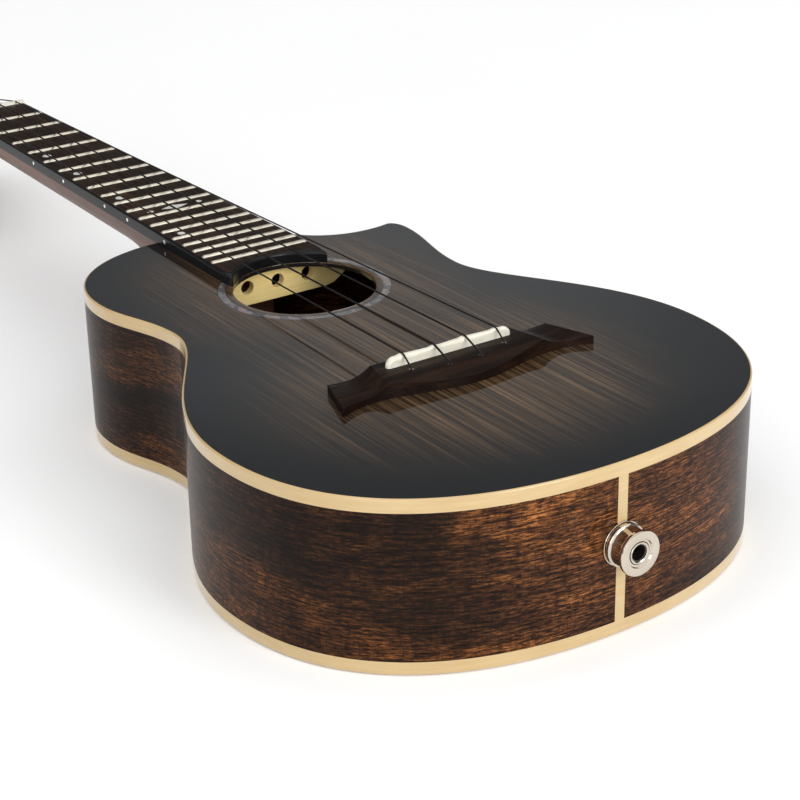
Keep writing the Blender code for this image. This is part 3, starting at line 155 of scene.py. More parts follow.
def inset(path, distance, closed=False, side=1):
    points = np.array(path, float)
    steps = np.roll(points, -1, axis=0) - points
    if not closed:
        steps[-1] = steps[-2]
    steps /= np.linalg.norm(steps, axis=1)[:, None]
    normals = side * np.stack([-steps[:, 1], steps[:, 0]], axis=1)
    before = np.roll(normals, 1, axis=0)
    if not closed:
        before[0] = normals[0]
    scale = 1 + (normals * before).sum(axis=1)
    return [tuple(p) for p in points + distance * (normals + before) / scale[:, None]]


def lengths_along(path):
    steps = np.linalg.norm(np.diff(np.array(path, float), axis=0), axis=1)
    return np.concatenate([[0], np.cumsum(steps)])


def walk(path, start):
    """The path without its first stretch."""
    points, lengths = np.array(path, float), lengths_along(path)
    first = tuple(np.interp(start, lengths, points[:, k]) for k in (0, 1))
    return [first] + [tuple(p) for p, at in zip(points, lengths) if at > start + 0.05]


def mirror_path(path):
    return [(-x, y) for x, y in path]


def band(first, second, size):
    """Faces between two rings of one size, by the index that each starts at."""
    return [(first + i, first + (i + 1) % size, second + (i + 1) % size, second + i) for i in range(size)]


def prism(loops, low, high):
    """A solid between two heights. The first loop is its outline, and the others are holes."""
    flat = [[Vector((x, y, 0)) for x, y in loop] for loop in loops]
    count = sum(len(loop) for loop in flat)
    vertices = [(v.x, v.y, z) for z in (low, high) for loop in flat for v in loop]
    caps = [tuple(face) for face in tessellate_polygon(flat)]
    faces = caps + [tuple(i + count for i in face) for face in caps]
    start = 0
    for loop in flat:
        faces += band(start, start + count, len(loop))
        start += len(loop)
    return vertices, faces


def loft(sections, closed=False):
    """Skins rings of equal length, capped at both ends unless the last joins the first."""
    size, count = len(sections[0]), len(sections)
    vertices = [tuple(point) for section in sections for point in section]
    faces = []
    for row in range(count if closed else count - 1):
        faces += band(row * size, (row + 1) % count * size, size)
    if not closed:
        faces += [tuple(range(size)), tuple(range((count - 1) * size, count * size))]
    return vertices, faces


def revolve(profile, count=64, ring=False):
    """Turns (radius, height) points about Z. A ring's profile is a closed loop off the axis."""
    rows = [[(x, y, z) for x, y in circle(max(radius, 0.001), count)] for radius, z in profile]
    return loft(rows, closed=ring)


def tube(path, radius, sides=12):
    points = [Vector(p) for p in path]
    rings = []
    normal = Vector((1, 0, 0))
    for i, point in enumerate(points):
        before = (point - points[i - 1]).normalized() if i else Vector()
        after = (points[i + 1] - point).normalized() if i + 1 < len(points) else Vector()
        along = (before + after).normalized()
        normal = (normal - along * normal.dot(along)).normalized()
        across = along.cross(normal)
        angles = [2 * math.pi * k / sides for k in range(sides)]
        rings.append([point + radius * (normal * math.cos(a) + across * math.sin(a)) for a in angles])
    return loft(rings)


def smooth_route(points, step):
    """Points every step along a smooth curve through the given ones."""
    knots = [Vector(p) for p in points]
    knots = [2 * knots[0] - knots[1]] + knots + [2 * knots[-1] - knots[-2]]
    route = []
    for a, b, c, d in zip(knots, knots[1:], knots[2:], knots[3:]):
        count = max(1, round((c - b).length / step))
        for i in range(count):
            t = i / count
            bend = 2 * a - 5 * b + 4 * c - d
            twist = -a + 3 * b - 3 * c + d
            route.append(0.5 * (2 * b + (c - a) * t + bend * t * t + twist * t ** 3))
    return route + [knots[-2]]


def joined(*shapes):
    vertices, faces = [], []
    for shape in shapes:
        base = len(vertices)
        vertices += list(shape[0])
        faces += [tuple(i + base for i in face) for face in shape[1]]
    return vertices, faces


def placed(shape, matrix):
    return [tuple(matrix @ Vector(v)) for v in shape[0]], shape[1]


def shown(name, data):
    """A new object in the scene."""
    obj = bpy.data.objects.new(name, data)
    SCENE.collection.objects.link(obj)
    return obj


def piece(name, shape, finish, replaces=(), body=BODY, bevel=0.0, angle=35):
    """A riding object in metres from a shape in millimetres, with rounded edges if asked."""
    work = bmesh.new()
    made = [work.verts.new(Vector(v) * MM) for v in shape[0]]
    for face in shape[1]:
        work.faces.new([made[i] for i in face])
    bmesh.ops.remove_doubles(work, verts=work.verts, dist=1e-6)
    bmesh.ops.recalc_face_normals(work, faces=work.faces)
    mesh = bpy.data.meshes.new(name)
    work.to_mesh(mesh)
    work.free()
    mesh.shade_smooth()
    mesh.set_sharp_from_angle(angle=math.radians(angle))
    mesh.materials.append(finish)
    obj = shown(name, mesh)
    if bevel:
        rounding = obj.modifiers.new("rounding", "BEVEL")
        rounding.width, rounding.segments = bevel * MM, 3
        rounding.limit_method, rounding.angle_limit = "ANGLE", math.radians(angle)
        rounding.harden_normals = True
    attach(obj, body)
    if replaces:
        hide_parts(*replaces)
    return obj


def add_uv(obj, function):
    """Gives the mesh a UV layer from a function of each vertex's place in millimetres."""
    layer = obj.data.uv_layers.new(name="along")
    for loop in obj.data.loops:
        layer.data[loop.index].uv = function(obj.data.vertices[loop.vertex_index].co / MM)


# ---- material graphs


def opaque(colour):
    """A colour with an alpha of 1. A socket stays as it is."""
    return colour if isinstance(colour, bpy.types.NodeSocket) else (*colour, 1.0)


class Nodes:
    """A node tree, with short calls for the nodes used here."""

    def __init__(self, tree):
        self.tree = tree

    def fill(self, socket, value):
        if isinstance(value, bpy.types.NodeSocket):
            self.tree.links.new(value, socket)
        else:
            socket.default_value = value

    def add(self, kind, inputs, **settings):
        made = self.tree.nodes.new(kind)
        for key, value in settings.items():
            setattr(made, key, value)
        for key, value in inputs.items():
            self.fill(made.inputs[key], value)
        return made

    def place(self, scale, source="Object", shift=(0, 0, 0)):
        where = self.add("ShaderNodeTexCoord", {}).outputs[source]
        return self.add("ShaderNodeMapping", {"Vector": where, "Scale": scale, "Location": shift}).outputs[0]

    def noise(self, scale, source="Object", detail=4.0, roughness=0.55, distortion=0.0):
        inputs = {"Vector": self.place(scale, source), "Scale": 1.0, "Detail": detail}
        inputs |= {"Roughness": roughness, "Distortion": distortion}
        return self.add("ShaderNodeTexNoise", inputs).outputs[0]

    def cells(self, scale, output, feature="F1"):
        inputs = {"Vector": self.place((scale, scale, scale)), "Scale": 1.0}
        return self.add("ShaderNodeTexVoronoi", inputs, feature=feature).outputs[output]

    def distance(self, half_x, half_y, shift):
        """How far a point is in plan, in half axes of an ellipse."""
        where = self.place((1 / half_x, 1 / half_y, 0), shift=shift)
        return self.add("ShaderNodeVectorMath", {0: where}, operation="LENGTH").outputs["Value"]

    def math(self, operation, a, b=0.0, c=0.0):
        return self.add("ShaderNodeMath", {0: a, 1: b, 2: c}, operation=operation).outputs[0]

    def span(self, value, low, high, to_low=0.0, to_high=1.0, smooth=False):
        """The value's range brought to another range, clamped."""
        inputs = {"Value": value, "From Min": low, "From Max": high, "To Min": to_low, "To Max": to_high}
        kind = "SMOOTHSTEP" if smooth else "LINEAR"
        return self.add("ShaderNodeMapRange", inputs, interpolation_type=kind).outputs[0]

    def ramp(self, value, *stops):
        made = self.add("ShaderNodeValToRGB", {"Fac": value})
        points = made.color_ramp.elements
        while len(points) < len(stops):
            points.new(0.5)
        for point, (at, colour) in zip(points, stops):
            point.position = at
            point.color = opaque(colour)
        return made.outputs[0]

    def mix(self, share, a, b, blend="MIX"):
        inputs = {0: share, 6: opaque(a), 7: opaque(b)}
        return self.add("ShaderNodeMix", inputs, data_type="RGBA", blend_type=blend).outputs[2]

    def tint(self, share, colour, value, *stops):
        """The colour times a ramp, by a share of its effect."""
        return self.mix(share, colour, self.ramp(value, *stops), "MULTIPLY")

    def dim(self, share, colour, level):
        """The colour times a grey level, by a share of its effect."""
        grey = self.add("ShaderNodeCombineColor", {0: level, 1: level, 2: level}).outputs[0]
        return self.mix(share, colour, grey, "MULTIPLY")


class Graph(Nodes):
    """A Principled material."""

    def __init__(self, name, colour, roughness, specular=0.5):
        self.material = bpy.data.materials.new(name)
        self.material.use_nodes = True
        super().__init__(self.material.node_tree)
        self.set("Base Color", (*colour, 1.0))
        self.set("Roughness", roughness)
        self.set("Specular IOR Level", specular)

    def set(self, name, value):
        self.fill(self.tree.nodes["Principled BSDF"].inputs[name], value)

    def bump(self, height, strength, depth, socket="Normal"):
        inputs = {"Height": height, "Strength": strength, "Distance": depth * MM}
        self.set(socket, self.add("ShaderNodeBump", inputs).outputs[0])

    def coat(self, weight, roughness, index=1.5):
        self.set("Coat Weight", weight)
        self.set("Coat Roughness", roughness)
        self.set("Coat IOR", index)


def stained_top():
    """Spruce stained black at its rim, fading to smoky brown, under gloss lacquer."""
    g = Graph("stained_top_look", (0.02, 0.02, 0.02), 0.45, 0.06)
    lower = g.distance(0.104, 0.098, (0, 0.085, 0))
    upper = g.distance(0.084, 0.108, (0, -0.98, 0))
    nearest = g.math("SMOOTH_MIN", lower, upper, 0.35)
    drift = g.noise((18, 7, 0), detail=3.0)
    burst = g.math("ADD", nearest, g.span(drift, 0.3, 0.7, -0.05, 0.05))
    centre = g.span(burst, 0.36, 0.94, 1.0, 0.0, smooth=True)
    grain = g.noise((1500, 14, 0), detail=3.0, roughness=0.6)
    bands = g.noise((560, 8, 0), roughness=0.62)
    silk = g.noise((320, 60, 0), detail=2.0)
    wood = g.ramp(bands, (0.32, (0.018, 0.0095, 0.0042)), (0.50, (0.058, 0.0325, 0.0148)),
                  (0.68, (0.145, 0.088, 0.047)))
    wood = g.dim(0.85, wood, g.span(grain, 0.38, 0.62, 0.25, 1.55))
    wood = g.dim(0.6, wood, g.span(silk, 0.35, 0.7, 0.85, 1.12))
    g.set("Base Color", g.mix(centre, (0.0065, 0.0068, 0.0075), wood))
    g.bump(grain, 0.12, 0.05)
    g.coat(1.0, 0.012)
    g.bump(g.noise((9, 9, 9), detail=1.0), 0.02, 0.4, "Coat Normal")
    return g.material


def figured_side():
    """Dark mahogany with flecks, pores and a faint ripple under thin lacquer, and a painted pool of light on
    the sides round the tail.
    """
    g = Graph("figured_side_look", (0.1, 0.05, 0.02), 0.38, 0.04)
    broad = g.noise((9, 34, 0), "UV", roughness=0.6, distortion=0.6)
    streak = g.noise((75, 950, 0), "UV", detail=5.0, roughness=0.66)
    pores = g.noise((260, 2600, 0), "UV", detail=2.0, roughness=0.6)
    ripple = g.noise((95, 22, 0), "UV", detail=2.5, distortion=0.5)
    checks = g.noise((1500, 150, 0), "UV", detail=2.0)
    fleck = g.noise((330, 1500, 0), "UV", detail=3.0, roughness=0.6)
    colour = g.ramp(broad, (0.32, (0.016, 0.0062, 0.0033)), (0.50, (0.080, 0.0305, 0.0120)),
                    (0.67, (0.265, 0.099, 0.031)))
    # Painted light and shade: the colour is up to 1.85 times brighter round the tail and down to 0.56 times
    # further off.
    tail = g.distance(0.105, 0.055, (-0.1, 2.1, 0))
    colour = g.dim(1.0, colour, g.span(tail, 0.25, 1.0, 1.85, 0.56, smooth=True))
    colour = g.tint(0.7, colour, checks, (0.36, (0.45, 0.42, 0.40)), (0.46, (1.0, 1.0, 1.0)))
    colour = g.tint(0.7, colour, fleck, (0.42, (0.18, 0.16, 0.14)), (0.58, (1.45, 1.4, 1.2)))
    colour = g.tint(0.9, colour, streak, (0.40, (0.05, 0.04, 0.035)), (0.5, (0.55, 0.52, 0.48)),
                    (0.60, (1.15, 1.12, 1.0)))
    colour = g.tint(0.75, colour, ripple, (0.32, (0.66, 0.64, 0.62)), (0.62, (1.25, 1.25, 1.25)))
    g.set("Base Color", g.mix(g.span(pores, 0.54, 0.60), colour, (0.006, 0.003, 0.002)))
    g.bump(pores, 0.15, 0.05)
    g.coat(0.27, 0.04, 1.35)
    g.bump(g.noise((14, 14, 14), detail=1.0), 0.06, 0.6, "Coat Normal")
    return g.material


def cream_plastic():
    g = Graph("cream_binding_look", (0.80, 0.66, 0.40), 0.3)
    lines = g.noise((60, 60, 900), detail=3.0)
    cloud = g.noise((25, 25, 25), detail=3.0)
    colour = g.ramp(lines, (0.3, (0.485, 0.335, 0.150)), (0.7, (0.555, 0.40, 0.198)))
    clouded = g.ramp(cloud, (0.3, (0.46, 0.31, 0.13)), (0.7, (0.585, 0.44, 0.232)))
    g.set("Base Color", g.mix(0.35, colour, clouded))
    g.bump(lines, 0.05, 0.03)
    g.coat(1.0, 0.05, 1.36)
    return g.material


def rosewood(name, dark, sheen, along=1):
    """Open-pored dark rosewood with reddish streaks along one axis: 0 for X and 1 for Y."""
    g = Graph(name, (0.03, 0.015, 0.01), sheen, 0.08)
    streak = g.noise(stretched(240, 7, along), detail=5.0, roughness=0.62, distortion=0.25)
    pores = g.noise(stretched(1500, 45, along), detail=2.0, roughness=0.6)
    tones = ((0.0075, 0.0036, 0.0024), (0.018, 0.0082, 0.0050), (0.046, 0.020, 0.0105))
    stops = [(at, tuple(dark * c for c in tone)) for at, tone in zip((0.30, 0.50, 0.70), tones)]
    colour = g.ramp(streak, *stops)
    g.set("Base Color", g.mix(g.span(pores, 0.58, 0.68), colour, (0.004, 0.0025, 0.002)))
    g.set("Roughness", g.span(pores, 0.4, 0.7, sheen - 0.08, sheen + 0.2))
    g.bump(pores, 0.35, 0.12)
    return g.material


def stretched(across, along, axis):
    """A noise scale that is finer across the grain than along it."""
    return tuple(along if k == axis else across for k in range(3))


def plain_gloss(name, colour, roughness, scale=600, coated=False):
    """Moulded or polished stock with a faint mottle in colour and gloss."""
    g = Graph(name, colour, roughness, 0.18)
    mottle = g.noise((scale, scale, scale), detail=3.0)
    darker, lighter = [tuple(c * level for c in colour) for level in (0.85, 1.15)]
    g.set("Base Color", g.ramp(mottle, (0.3, darker), (0.7, lighter)))
    g.set("Roughness", g.span(mottle, 0.3, 0.7, roughness * 0.8, roughness * 1.25))
    if coated:
        g.coat(1.0, 0.04)
    return g.material


def bone():
    g = Graph("bone_look", (0.86, 0.84, 0.76), 0.3)
    grain = g.noise((35, 900, 900))
    cloud = g.noise((180, 180, 180), detail=3.0)
    colour = g.ramp(grain, (0.3, (0.66, 0.62, 0.50)), (0.7, (0.78, 0.75, 0.65)))
    clouded = g.ramp(cloud, (0.3, (0.64, 0.60, 0.47)), (0.7, (0.82, 0.80, 0.72)))
    g.set("Base Color", g.mix(0.4, colour, clouded))
    g.set("Subsurface Weight", 0.15)
    g.set("Subsurface Radius", (0.002, 0.0015, 0.001))
    g.bump(grain, 0.08, 0.05)
    return g.material


def shell():
    """Abalone: short flakes round the ring, each with its own tone, with swirls and fine cracks."""
    g = Graph("shell_look", (0.3, 0.3, 0.35), 0.22)
    tone = g.add("ShaderNodeSeparateColor", {0: g.cells(330, "Color")}).outputs[0]
    swirl = g.noise((420, 420, 420), distortion=2.5)
    mixed = g.math("ADD", g.math("MULTIPLY", tone, 0.55), g.math("MULTIPLY", swirl, 0.45))
    g.set("Base Color", g.ramp(
        mixed, (0.18, (0.030, 0.030, 0.040)), (0.34, (0.10, 0.085, 0.10)), (0.46, (0.17, 0.155, 0.16)),
        (0.58, (0.33, 0.25, 0.23)), (0.70, (0.10, 0.14, 0.15)), (0.84, (0.33, 0.28, 0.24))))
    g.set("Metallic", 0.35)
    cracks = g.cells(330, 0, "DISTANCE_TO_EDGE")
    g.bump(g.span(cracks, 0.0, 0.08), 0.3, 0.1)
    g.coat(1.0, 0.03)
    return g.material


def pearl():
    g = Graph("pearl_look", (0.82, 0.8, 0.75), 0.2)
    swirl = g.noise((260, 260, 260), distortion=1.8)
    g.set("Base Color", g.ramp(swirl, (0.3, (0.62, 0.60, 0.55)), (0.5, (0.86, 0.84, 0.78)),
                               (0.7, (0.95, 0.93, 0.90))))
    g.set("Metallic", 0.12)
    g.bump(swirl, 0.05, 0.05)
    g.coat(1.0, 0.05)
    return g.material


def polished(name, colour, roughness, brush=(40, 40, 900)):
    """Plated metal with hairline brushing and faint smears."""
    g = Graph(name, colour, roughness)
    g.set("Metallic", 1.0)
    hair = g.noise(brush, detail=3.0)
    smear = g.noise((120, 120, 120), detail=3.0)
    brushed = g.span(hair, 0.35, 0.65, roughness * 0.6, roughness * 1.3)
    g.set("Roughness", g.math("ADD", brushed, g.span(smear, 0.4, 0.7, 0.0, 0.08)))
    g.set("Base Color", g.ramp(smear, (0.3, tuple(0.9 * c for c in colour)), (0.7, colour)))
    return g.material


def bare_wood(name, dark, light, along, rough=0.6, glossy=0.0, fibre=0.7):
    """Planed wood with grain along one axis: 0 for X and 1 for Y."""
    g = Graph(name, light, rough)
    grain = g.noise(stretched(170.0, 6.0, along), detail=5.0, roughness=0.6, distortion=0.2)
    fibres = g.noise(stretched(1400.0, 40.0, along), detail=2.0)
    colour = g.ramp(grain, (0.3, dark), (0.7, light))
    g.set("Base Color", g.tint(fibre, colour, fibres, (0.35, (0.72, 0.70, 0.68)), (0.6, (1.05, 1.05, 1.05))))
    g.set("Roughness", g.span(fibres, 0.3, 0.7, rough - 0.08, rough + 0.1))
    g.bump(fibres, 0.25, 0.08)
    g.coat(glossy, 0.3)
    return g.material


TOP = stained_top()
SIDE = figured_side()
CREAM = cream_plastic()
BOARD = rosewood("fretboard_look", 0.85, 0.45)
BRIDGE_WOOD = rosewood("bridge_look", 0.5, 0.42, along=0)
HEAD_VENEER = rosewood("head_veneer_look", 0.6, 0.2)
BLACK = plain_gloss("black_binding_look", (0.008, 0.008, 0.009), 0.22, 150)
LINE = plain_gloss("dark_line_look", (0.012, 0.010, 0.009), 0.3, coated=True)
BONE = bone()
SHELL = shell()
PEARL = pearl()
NYLON = plain_gloss("nylon_look", (0.008, 0.005, 0.004), 0.3, 900)
NICKEL = polished("nickel_look", (0.64, 0.57, 0.48), 0.08)
FRET_METAL = polished("fret_look", (0.66, 0.61, 0.51), 0.38, brush=(60, 60, 60))
BRASS = polished("brass_look", (0.75, 0.55, 0.26), 0.22)
SPRUCE = bare_wood("spruce_look", (0.97, 0.70, 0.25), (1.0, 0.80, 0.36), 0, 0.55, fibre=0.3)
MAHOGANY = bare_wood("inner_mahogany_look", (0.11, 0.040, 0.020), (0.25, 0.10, 0.050), 0)
NECK_WOOD = bare_wood("neck_look", (0.052, 0.017, 0.0075), (0.15, 0.050, 0.021), 1, 0.42, glossy=0.2)
JACKET = plain_gloss("lead_look", (0.015, 0.015, 0.016), 0.55)


# ---- outline

FINE = 14  # curve points for each one that the CAD outline has


def lower_path():
    (x, y), (waist_x, waist_y) = LOWER, WAIST
    below, above = y + TAIL_LENGTH, waist_y - y
    first = bezier((0, -TAIL_LENGTH), (0.578 * x, -TAIL_LENGTH), (x, y - 0.688 * below), LOWER, 10 * FINE)
    return first + bezier(LOWER, (x, y + 0.466 * above), (waist_x, waist_y - 0.244 * above), WAIST, 7 * FINE)


def bass_path():
    """Tail centre to shoulder round the full upper bout, on the +X side for mirroring."""
    (x, y), (waist_x, waist_y) = UPPER, WAIST
    rise, fall = y - waist_y, BODY_END - y
    first = bezier(WAIST, (waist_x, waist_y + 0.41 * rise), (x, y - 0.396 * rise), UPPER, 4 * FINE)
    shoulder = (SHOULDER_HALF, BODY_END)
    handle = (SHOULDER_HALF + 0.5 * (x - SHOULDER_HALF), BODY_END - 1.5)
    return lower_path() + first + bezier(UPPER, (x, y + 0.64 * fall), handle, shoulder, 8 * FINE) + [shoulder]


def treble_path():
    """Tail centre to the neck's edge round the horn and the cutaway."""
    (x, y), (waist_x, waist_y), (tip_x, tip_y) = HORN, WAIST, HORN_TIP
    rise = y - waist_y
    first = bezier(WAIST, (waist_x, waist_y + 0.37 * rise), (x, y - 0.34 * rise), HORN, 4 * FINE)
    tip_handle = (tip_x + 0.6 * (x - tip_x), tip_y)
    second = bezier(HORN, (x, y + 0.52 * (tip_y - y)), tip_handle, HORN_TIP, 3 * FINE)
    root = (cutaway_x(), BODY_END - 5.0)
    third = bezier(HORN_TIP, HORN_DIP, (root[0], tip_y + 0.31 * (root[1] - tip_y)), root, 9 * FINE)
    return lower_path() + first + second + third + [root, (root[0], BODY_END)]


def fret_y(number):
    return SCALE_LENGTH * 2 ** (-number / 12)


def board_half(y):
    slope = (JOIN_WIDTH - NUT_WIDTH) / 2 / (SCALE_LENGTH - fret_y(14))
    return NUT_WIDTH / 2 + slope * (SCALE_LENGTH - y)


def cutaway_x():
    return board_half(BODY_END) + 1.0


def body_outline():
    return treble_path() + list(reversed(mirror_path(bass_path())))[:-1]


# ---- body


def about_hole(radius, count=128):
    return circle(radius, count, (0, HOLE_Y))


def make_top():
    """The soundboard's lacquered face, grooved for the shell ring, with a rounded soundhole."""
    outline = inset(body_outline(), BINDING_ROUND, closed=True)
    low, floor, rounding = TOP_Z - TOP_THICKNESS, TOP_Z - RING_DEPTH, 0.25
    rings = [(RING_OUTER, TOP_Z), (RING_OUTER, floor), (RING_INNER, floor), (RING_INNER, TOP_Z)]
    rings += [(HOLE_RADIUS + rounding, TOP_Z), (HOLE_RADIUS + rounding * 0.3, TOP_Z - rounding * 0.3)]
    rings += [(HOLE_RADIUS, TOP_Z - rounding), (HOLE_RADIUS, low)]
    vertices = [(x, y, z) for z in (TOP_Z, low) for x, y in outline]
    vertices += [(x, y, z) for radius, z in rings for x, y in about_hole(radius)]
    size, count = len(outline), len(about_hole(1))
    faces = band(0, size, size)
    starts = [2 * size + row * count for row in range(len(rings))]
    for first, second in zip(starts, starts[1:]):
        faces += band(first, second, count)
    for edge, start, ring in ((0, starts[0], rings[0]), (size, starts[-1], rings[-1])):
        flat = [[Vector((x, y, 0)) for x, y in loop] for loop in (outline, about_hole(ring[0]))]
        for face in tessellate_polygon(flat):
            faces.append(tuple(edge + i if i < size else start + i - size for i in face))
    piece("top_face", (vertices, faces), TOP, ["soundboard"])
    inner = HOLE_RADIUS - 0.05
    wall = [(inner + 0.25, low - 0.02), (inner, TOP_Z - rounding - 0.02), (inner, low - 0.02)]
    edge = placed(revolve(wall, count, ring=True), Matrix.Translation((0, HOLE_Y, 0)))
    piece("hole_edge", edge, LINE)


def make_rosette():
    radii = (RING_OUTER, RING_OUTER - RING_LINE, RING_INNER + RING_LINE, RING_INNER)
    outer, shell_outer, shell_inner, inner = [about_hole(radius) for radius in radii]
    low = TOP_Z - RING_DEPTH
    lines = joined(prism([outer, shell_outer], low, TOP_Z), prism([shell_inner, inner], low, TOP_Z))
    piece("rosette_lines", lines, LINE)
    piece("rosette_shell", prism([shell_outer, shell_inner], low, TOP_Z), SHELL, ["rosette"])


def make_back():
    face = inset(body_outline(), BINDING_WIDTH, closed=True)
    obj = piece("back_face", prism([face], 0.0, BACK_THICKNESS), SIDE, ["back_plate"])
    add_uv(obj, lambda v: (v.y * MM, v.x * MM))


def make_sides():
    low, high = BINDING_HEIGHT, TOP_Z - BINDING_HEIGHT
    treble = walk(treble_path(), GRAFT_HALF)
    bass = walk(mirror_path(bass_path()), GRAFT_HALF)
    bass.append((cutaway_x() - SIDE_THICKNESS, BODY_END))
    profile = [(0, low), (0, high), (SIDE_THICKNESS, high), (SIDE_THICKNESS, low)]
    for name, path, side in (("side_bass", bass, -1), ("side_treble", treble, 1)):
        rails = {d: inset(path, d, side=side) for d in (0, SIDE_THICKNESS)}
        rows = [[(*rails[d][i], z) for d, z in profile] for i in range(len(path))]
        obj = piece(name + "_face", loft(rows), SIDE, [name])
        runs, finder = lengths_along(path), nearest_index(path)
        add_uv(obj, lambda at: (side * runs[finder(at)] * MM, at.z * MM))


def nearest_index(path):
    """A function that gives the path's point nearest to a place."""
    tree = KDTree(len(path))
    for i, (x, y) in enumerate(path):
        tree.insert((x, y, 0), i)
    tree.balance()
    return lambda at: tree.find((at.x, at.y, 0))[1]


def make_bindings():
    outline = body_outline()
    for name, base, direction, sunk in (("binding_back", 0, 1, 0.0), ("binding_top", TOP_Z, -1, 0.08)):
        profile = [(0, BINDING_HEIGHT)] + arc((BINDING_ROUND, BINDING_ROUND), BINDING_ROUND, 180, 270, 5)
        if sunk:
            profile.append((BINDING_ROUND, sunk))
        profile += [(BINDING_WIDTH, sunk), (BINDING_WIDTH, BINDING_HEIGHT)]
        rails = {d: inset(outline, d, closed=True) for d, _ in profile}
        rows = [[(*rails[d][i], base + direction * z) for d, z in profile] for i in range(len(outline))]
        piece(name + "_strip", loft(rows, closed=True), CREAM, [name])


def make_graft():
    low, high = BINDING_HEIGHT, TOP_Z - BINDING_HEIGHT
    rows = []
    for x in np.linspace(-GRAFT_HALF, GRAFT_HALF, 9):
        y = -TAIL_LENGTH + 0.0022 * x * x - 0.02  # the tail's own curve, and just proud of it
        rows.append([(x, y, low), (x, y, high), (x, y + SIDE_THICKNESS, high), (x, y + SIDE_THICKNESS, low)])
    piece("end_graft", loft(rows), CREAM, ["end_graft_lower", "end_graft_upper"])


# ---- bridge, saddle, strings


def bridge_section(share):
    """The bridge across its length at a share of its half width: belly, bevel, scoop and flared wing."""
    far = abs(share)
    belly = math.cos(math.pi / 2 * min(far / 0.72, 1)) ** 2
    flare = max(0.0, (far - 0.78) / 0.22) ** 2
    rear = BRIDGE_REAR - BRIDGE_BELLY * belly - 3.9 * flare
    scoop = min(max((far - BRIDGE_RIDGE) / 0.2, 0.0), 1.0)
    top = BRIDGE_WING + (BRIDGE_TOP - BRIDGE_WING) * (1 - scoop) ** 2 + 0.5 * flare
    bevel = max(0.0, math.cos(math.pi / 2 * min(far / BRIDGE_RIDGE, 1)))
    rear_top = top - 2.8 * bevel - 0.3
    crease = rear + 0.4 + 6.0 * bevel
    front_round = min(0.6, top / 3)
    corner = (BRIDGE_FRONT - front_round, top - front_round)
    profile = [(BRIDGE_FRONT, 0.0)] + arc(corner, front_round, 0, 90, 4)
    for i in range(7):
        t = i / 6
        sag = 0.12 * (top - rear_top) * math.sin(math.pi * t)
        profile.append((crease + (rear - crease) * t, top + (rear_top - top) * t ** 1.15 + sag))
    profile += [(rear, rear_top - 0.4), (rear, 0.0)]
    return [(share * (BRIDGE_HALF - BRIDGE_SLANT * (y + 5.5)), y, TOP_Z + z) for y, z in profile]


def make_bridge():
    shares = sorted({round(s, 4) for s in list(np.linspace(-1, 1, 121)) + [-BRIDGE_RIDGE, BRIDGE_RIDGE]})
    body = loft([bridge_section(s) for s in shares])
    piece("bridge_body", body, BRIDGE_WOOD, ["bridge"], angle=24)
    for i in range(4):
        # Painted shade: a dark ring on the bridge's top stands in for the shade inside each string hole,
        # which the bridge body does not have.
        hole_shade = revolve([(0.3, -0.4), (0.85, -0.4), (0.95, 0.03), (0.3, 0.03)], 24, ring=True)
        spot = Matrix.Translation((string_x(i), string_hole_y(i), TOP_Z + BRIDGE_TOP))
        piece(f"string_hole_shade_{i + 1}", placed(hole_shade, spot), LINE)


def string_hole_y(number):
    """The outer strings' holes are nearer to the saddle."""
    return STRING_HOLE_YS[0 if number in (0, 3) else 1]


def string_x(number):
    return (number - 1.5) * STRING_SPACING


def nut_x(number):
    return (number - 1.5) * NUT_SPACING


def make_saddle():
    """Round ends and a crest that steps forwards and back under each string."""
    radius = SADDLE_WIDTH / 2
    low = TOP_Z + BRIDGE_TOP - 2.0
    rows = []
    count = 160
    for i in range(count + 1):
        x = SADDLE_HALF * math.sin(math.pi / 2 * (2 * i / count - 1))
        to_end = max(SADDLE_HALF - abs(x), 0.01)
        share = min(to_end / radius, 1)
        width = max(radius * math.sqrt(share * (2 - share)), 0.05)
        drop = 2.6 * (1 - min(to_end / 3.4, 1)) ** 2
        wave = math.sin(2 * math.pi * x / (2 * STRING_SPACING))
        notch = 0.55 * max(0.0, math.cos(2 * math.pi * (x + STRING_SPACING / 2) / STRING_SPACING)) ** 4
        high = TOP_Z + SADDLE_TOP - drop - 0.45 + notch * 0.8
        shift = 0.3 * wave * width
        crest = max(high, low + 1.0)
        ring = [(x, SADDLE_Y - width, low), (x, SADDLE_Y - width, crest - 1.5)]
        for k in range(7):
            a = math.pi * k / 6
            y = SADDLE_Y + shift * math.sin(a) - width * math.cos(a)
            ring.append((x, y, crest - 1.2 + 1.2 * math.sin(a) ** 0.7))
        ring += [(x, SADDLE_Y + width, crest - 1.5), (x, SADDLE_Y + width, low)]
        rows.append(ring)
    piece("saddle_bone", loft(rows), BONE, ["saddle"], angle=50)


def winding(number):
    """Turns round the post, from where the string first meets it, ending at its cross hole."""
    post_x, post_y = POSTS[number]
    side = 1 if post_x > 0 else -1
    string = STRING_RADII[number]
    radius = POST_RADIUS + string + 0.06
    run = math.hypot(post_x - nut_x(number), post_y)
    lean = math.atan2(abs(post_x) - abs(nut_x(number)), post_y) - math.asin(radius / run)
    start = math.pi - lean if side > 0 else lean
    pitch = 2 * string + 0.12
    high = POST_TOP - POST_HOLE_DROP - HEAD_THICKNESS - GAP
    count, turns = 32, 2.25
    points = []
    for i in range(round(turns * count) + 1):
        angle = start - side * 2 * math.pi * i / count
        z = high - pitch * (turns - i / count)
        x, y = post_x + radius * math.cos(angle), post_y + radius * math.sin(angle)
        points.append(HEAD_FRAME @ Vector((x, y, z)))
    return points


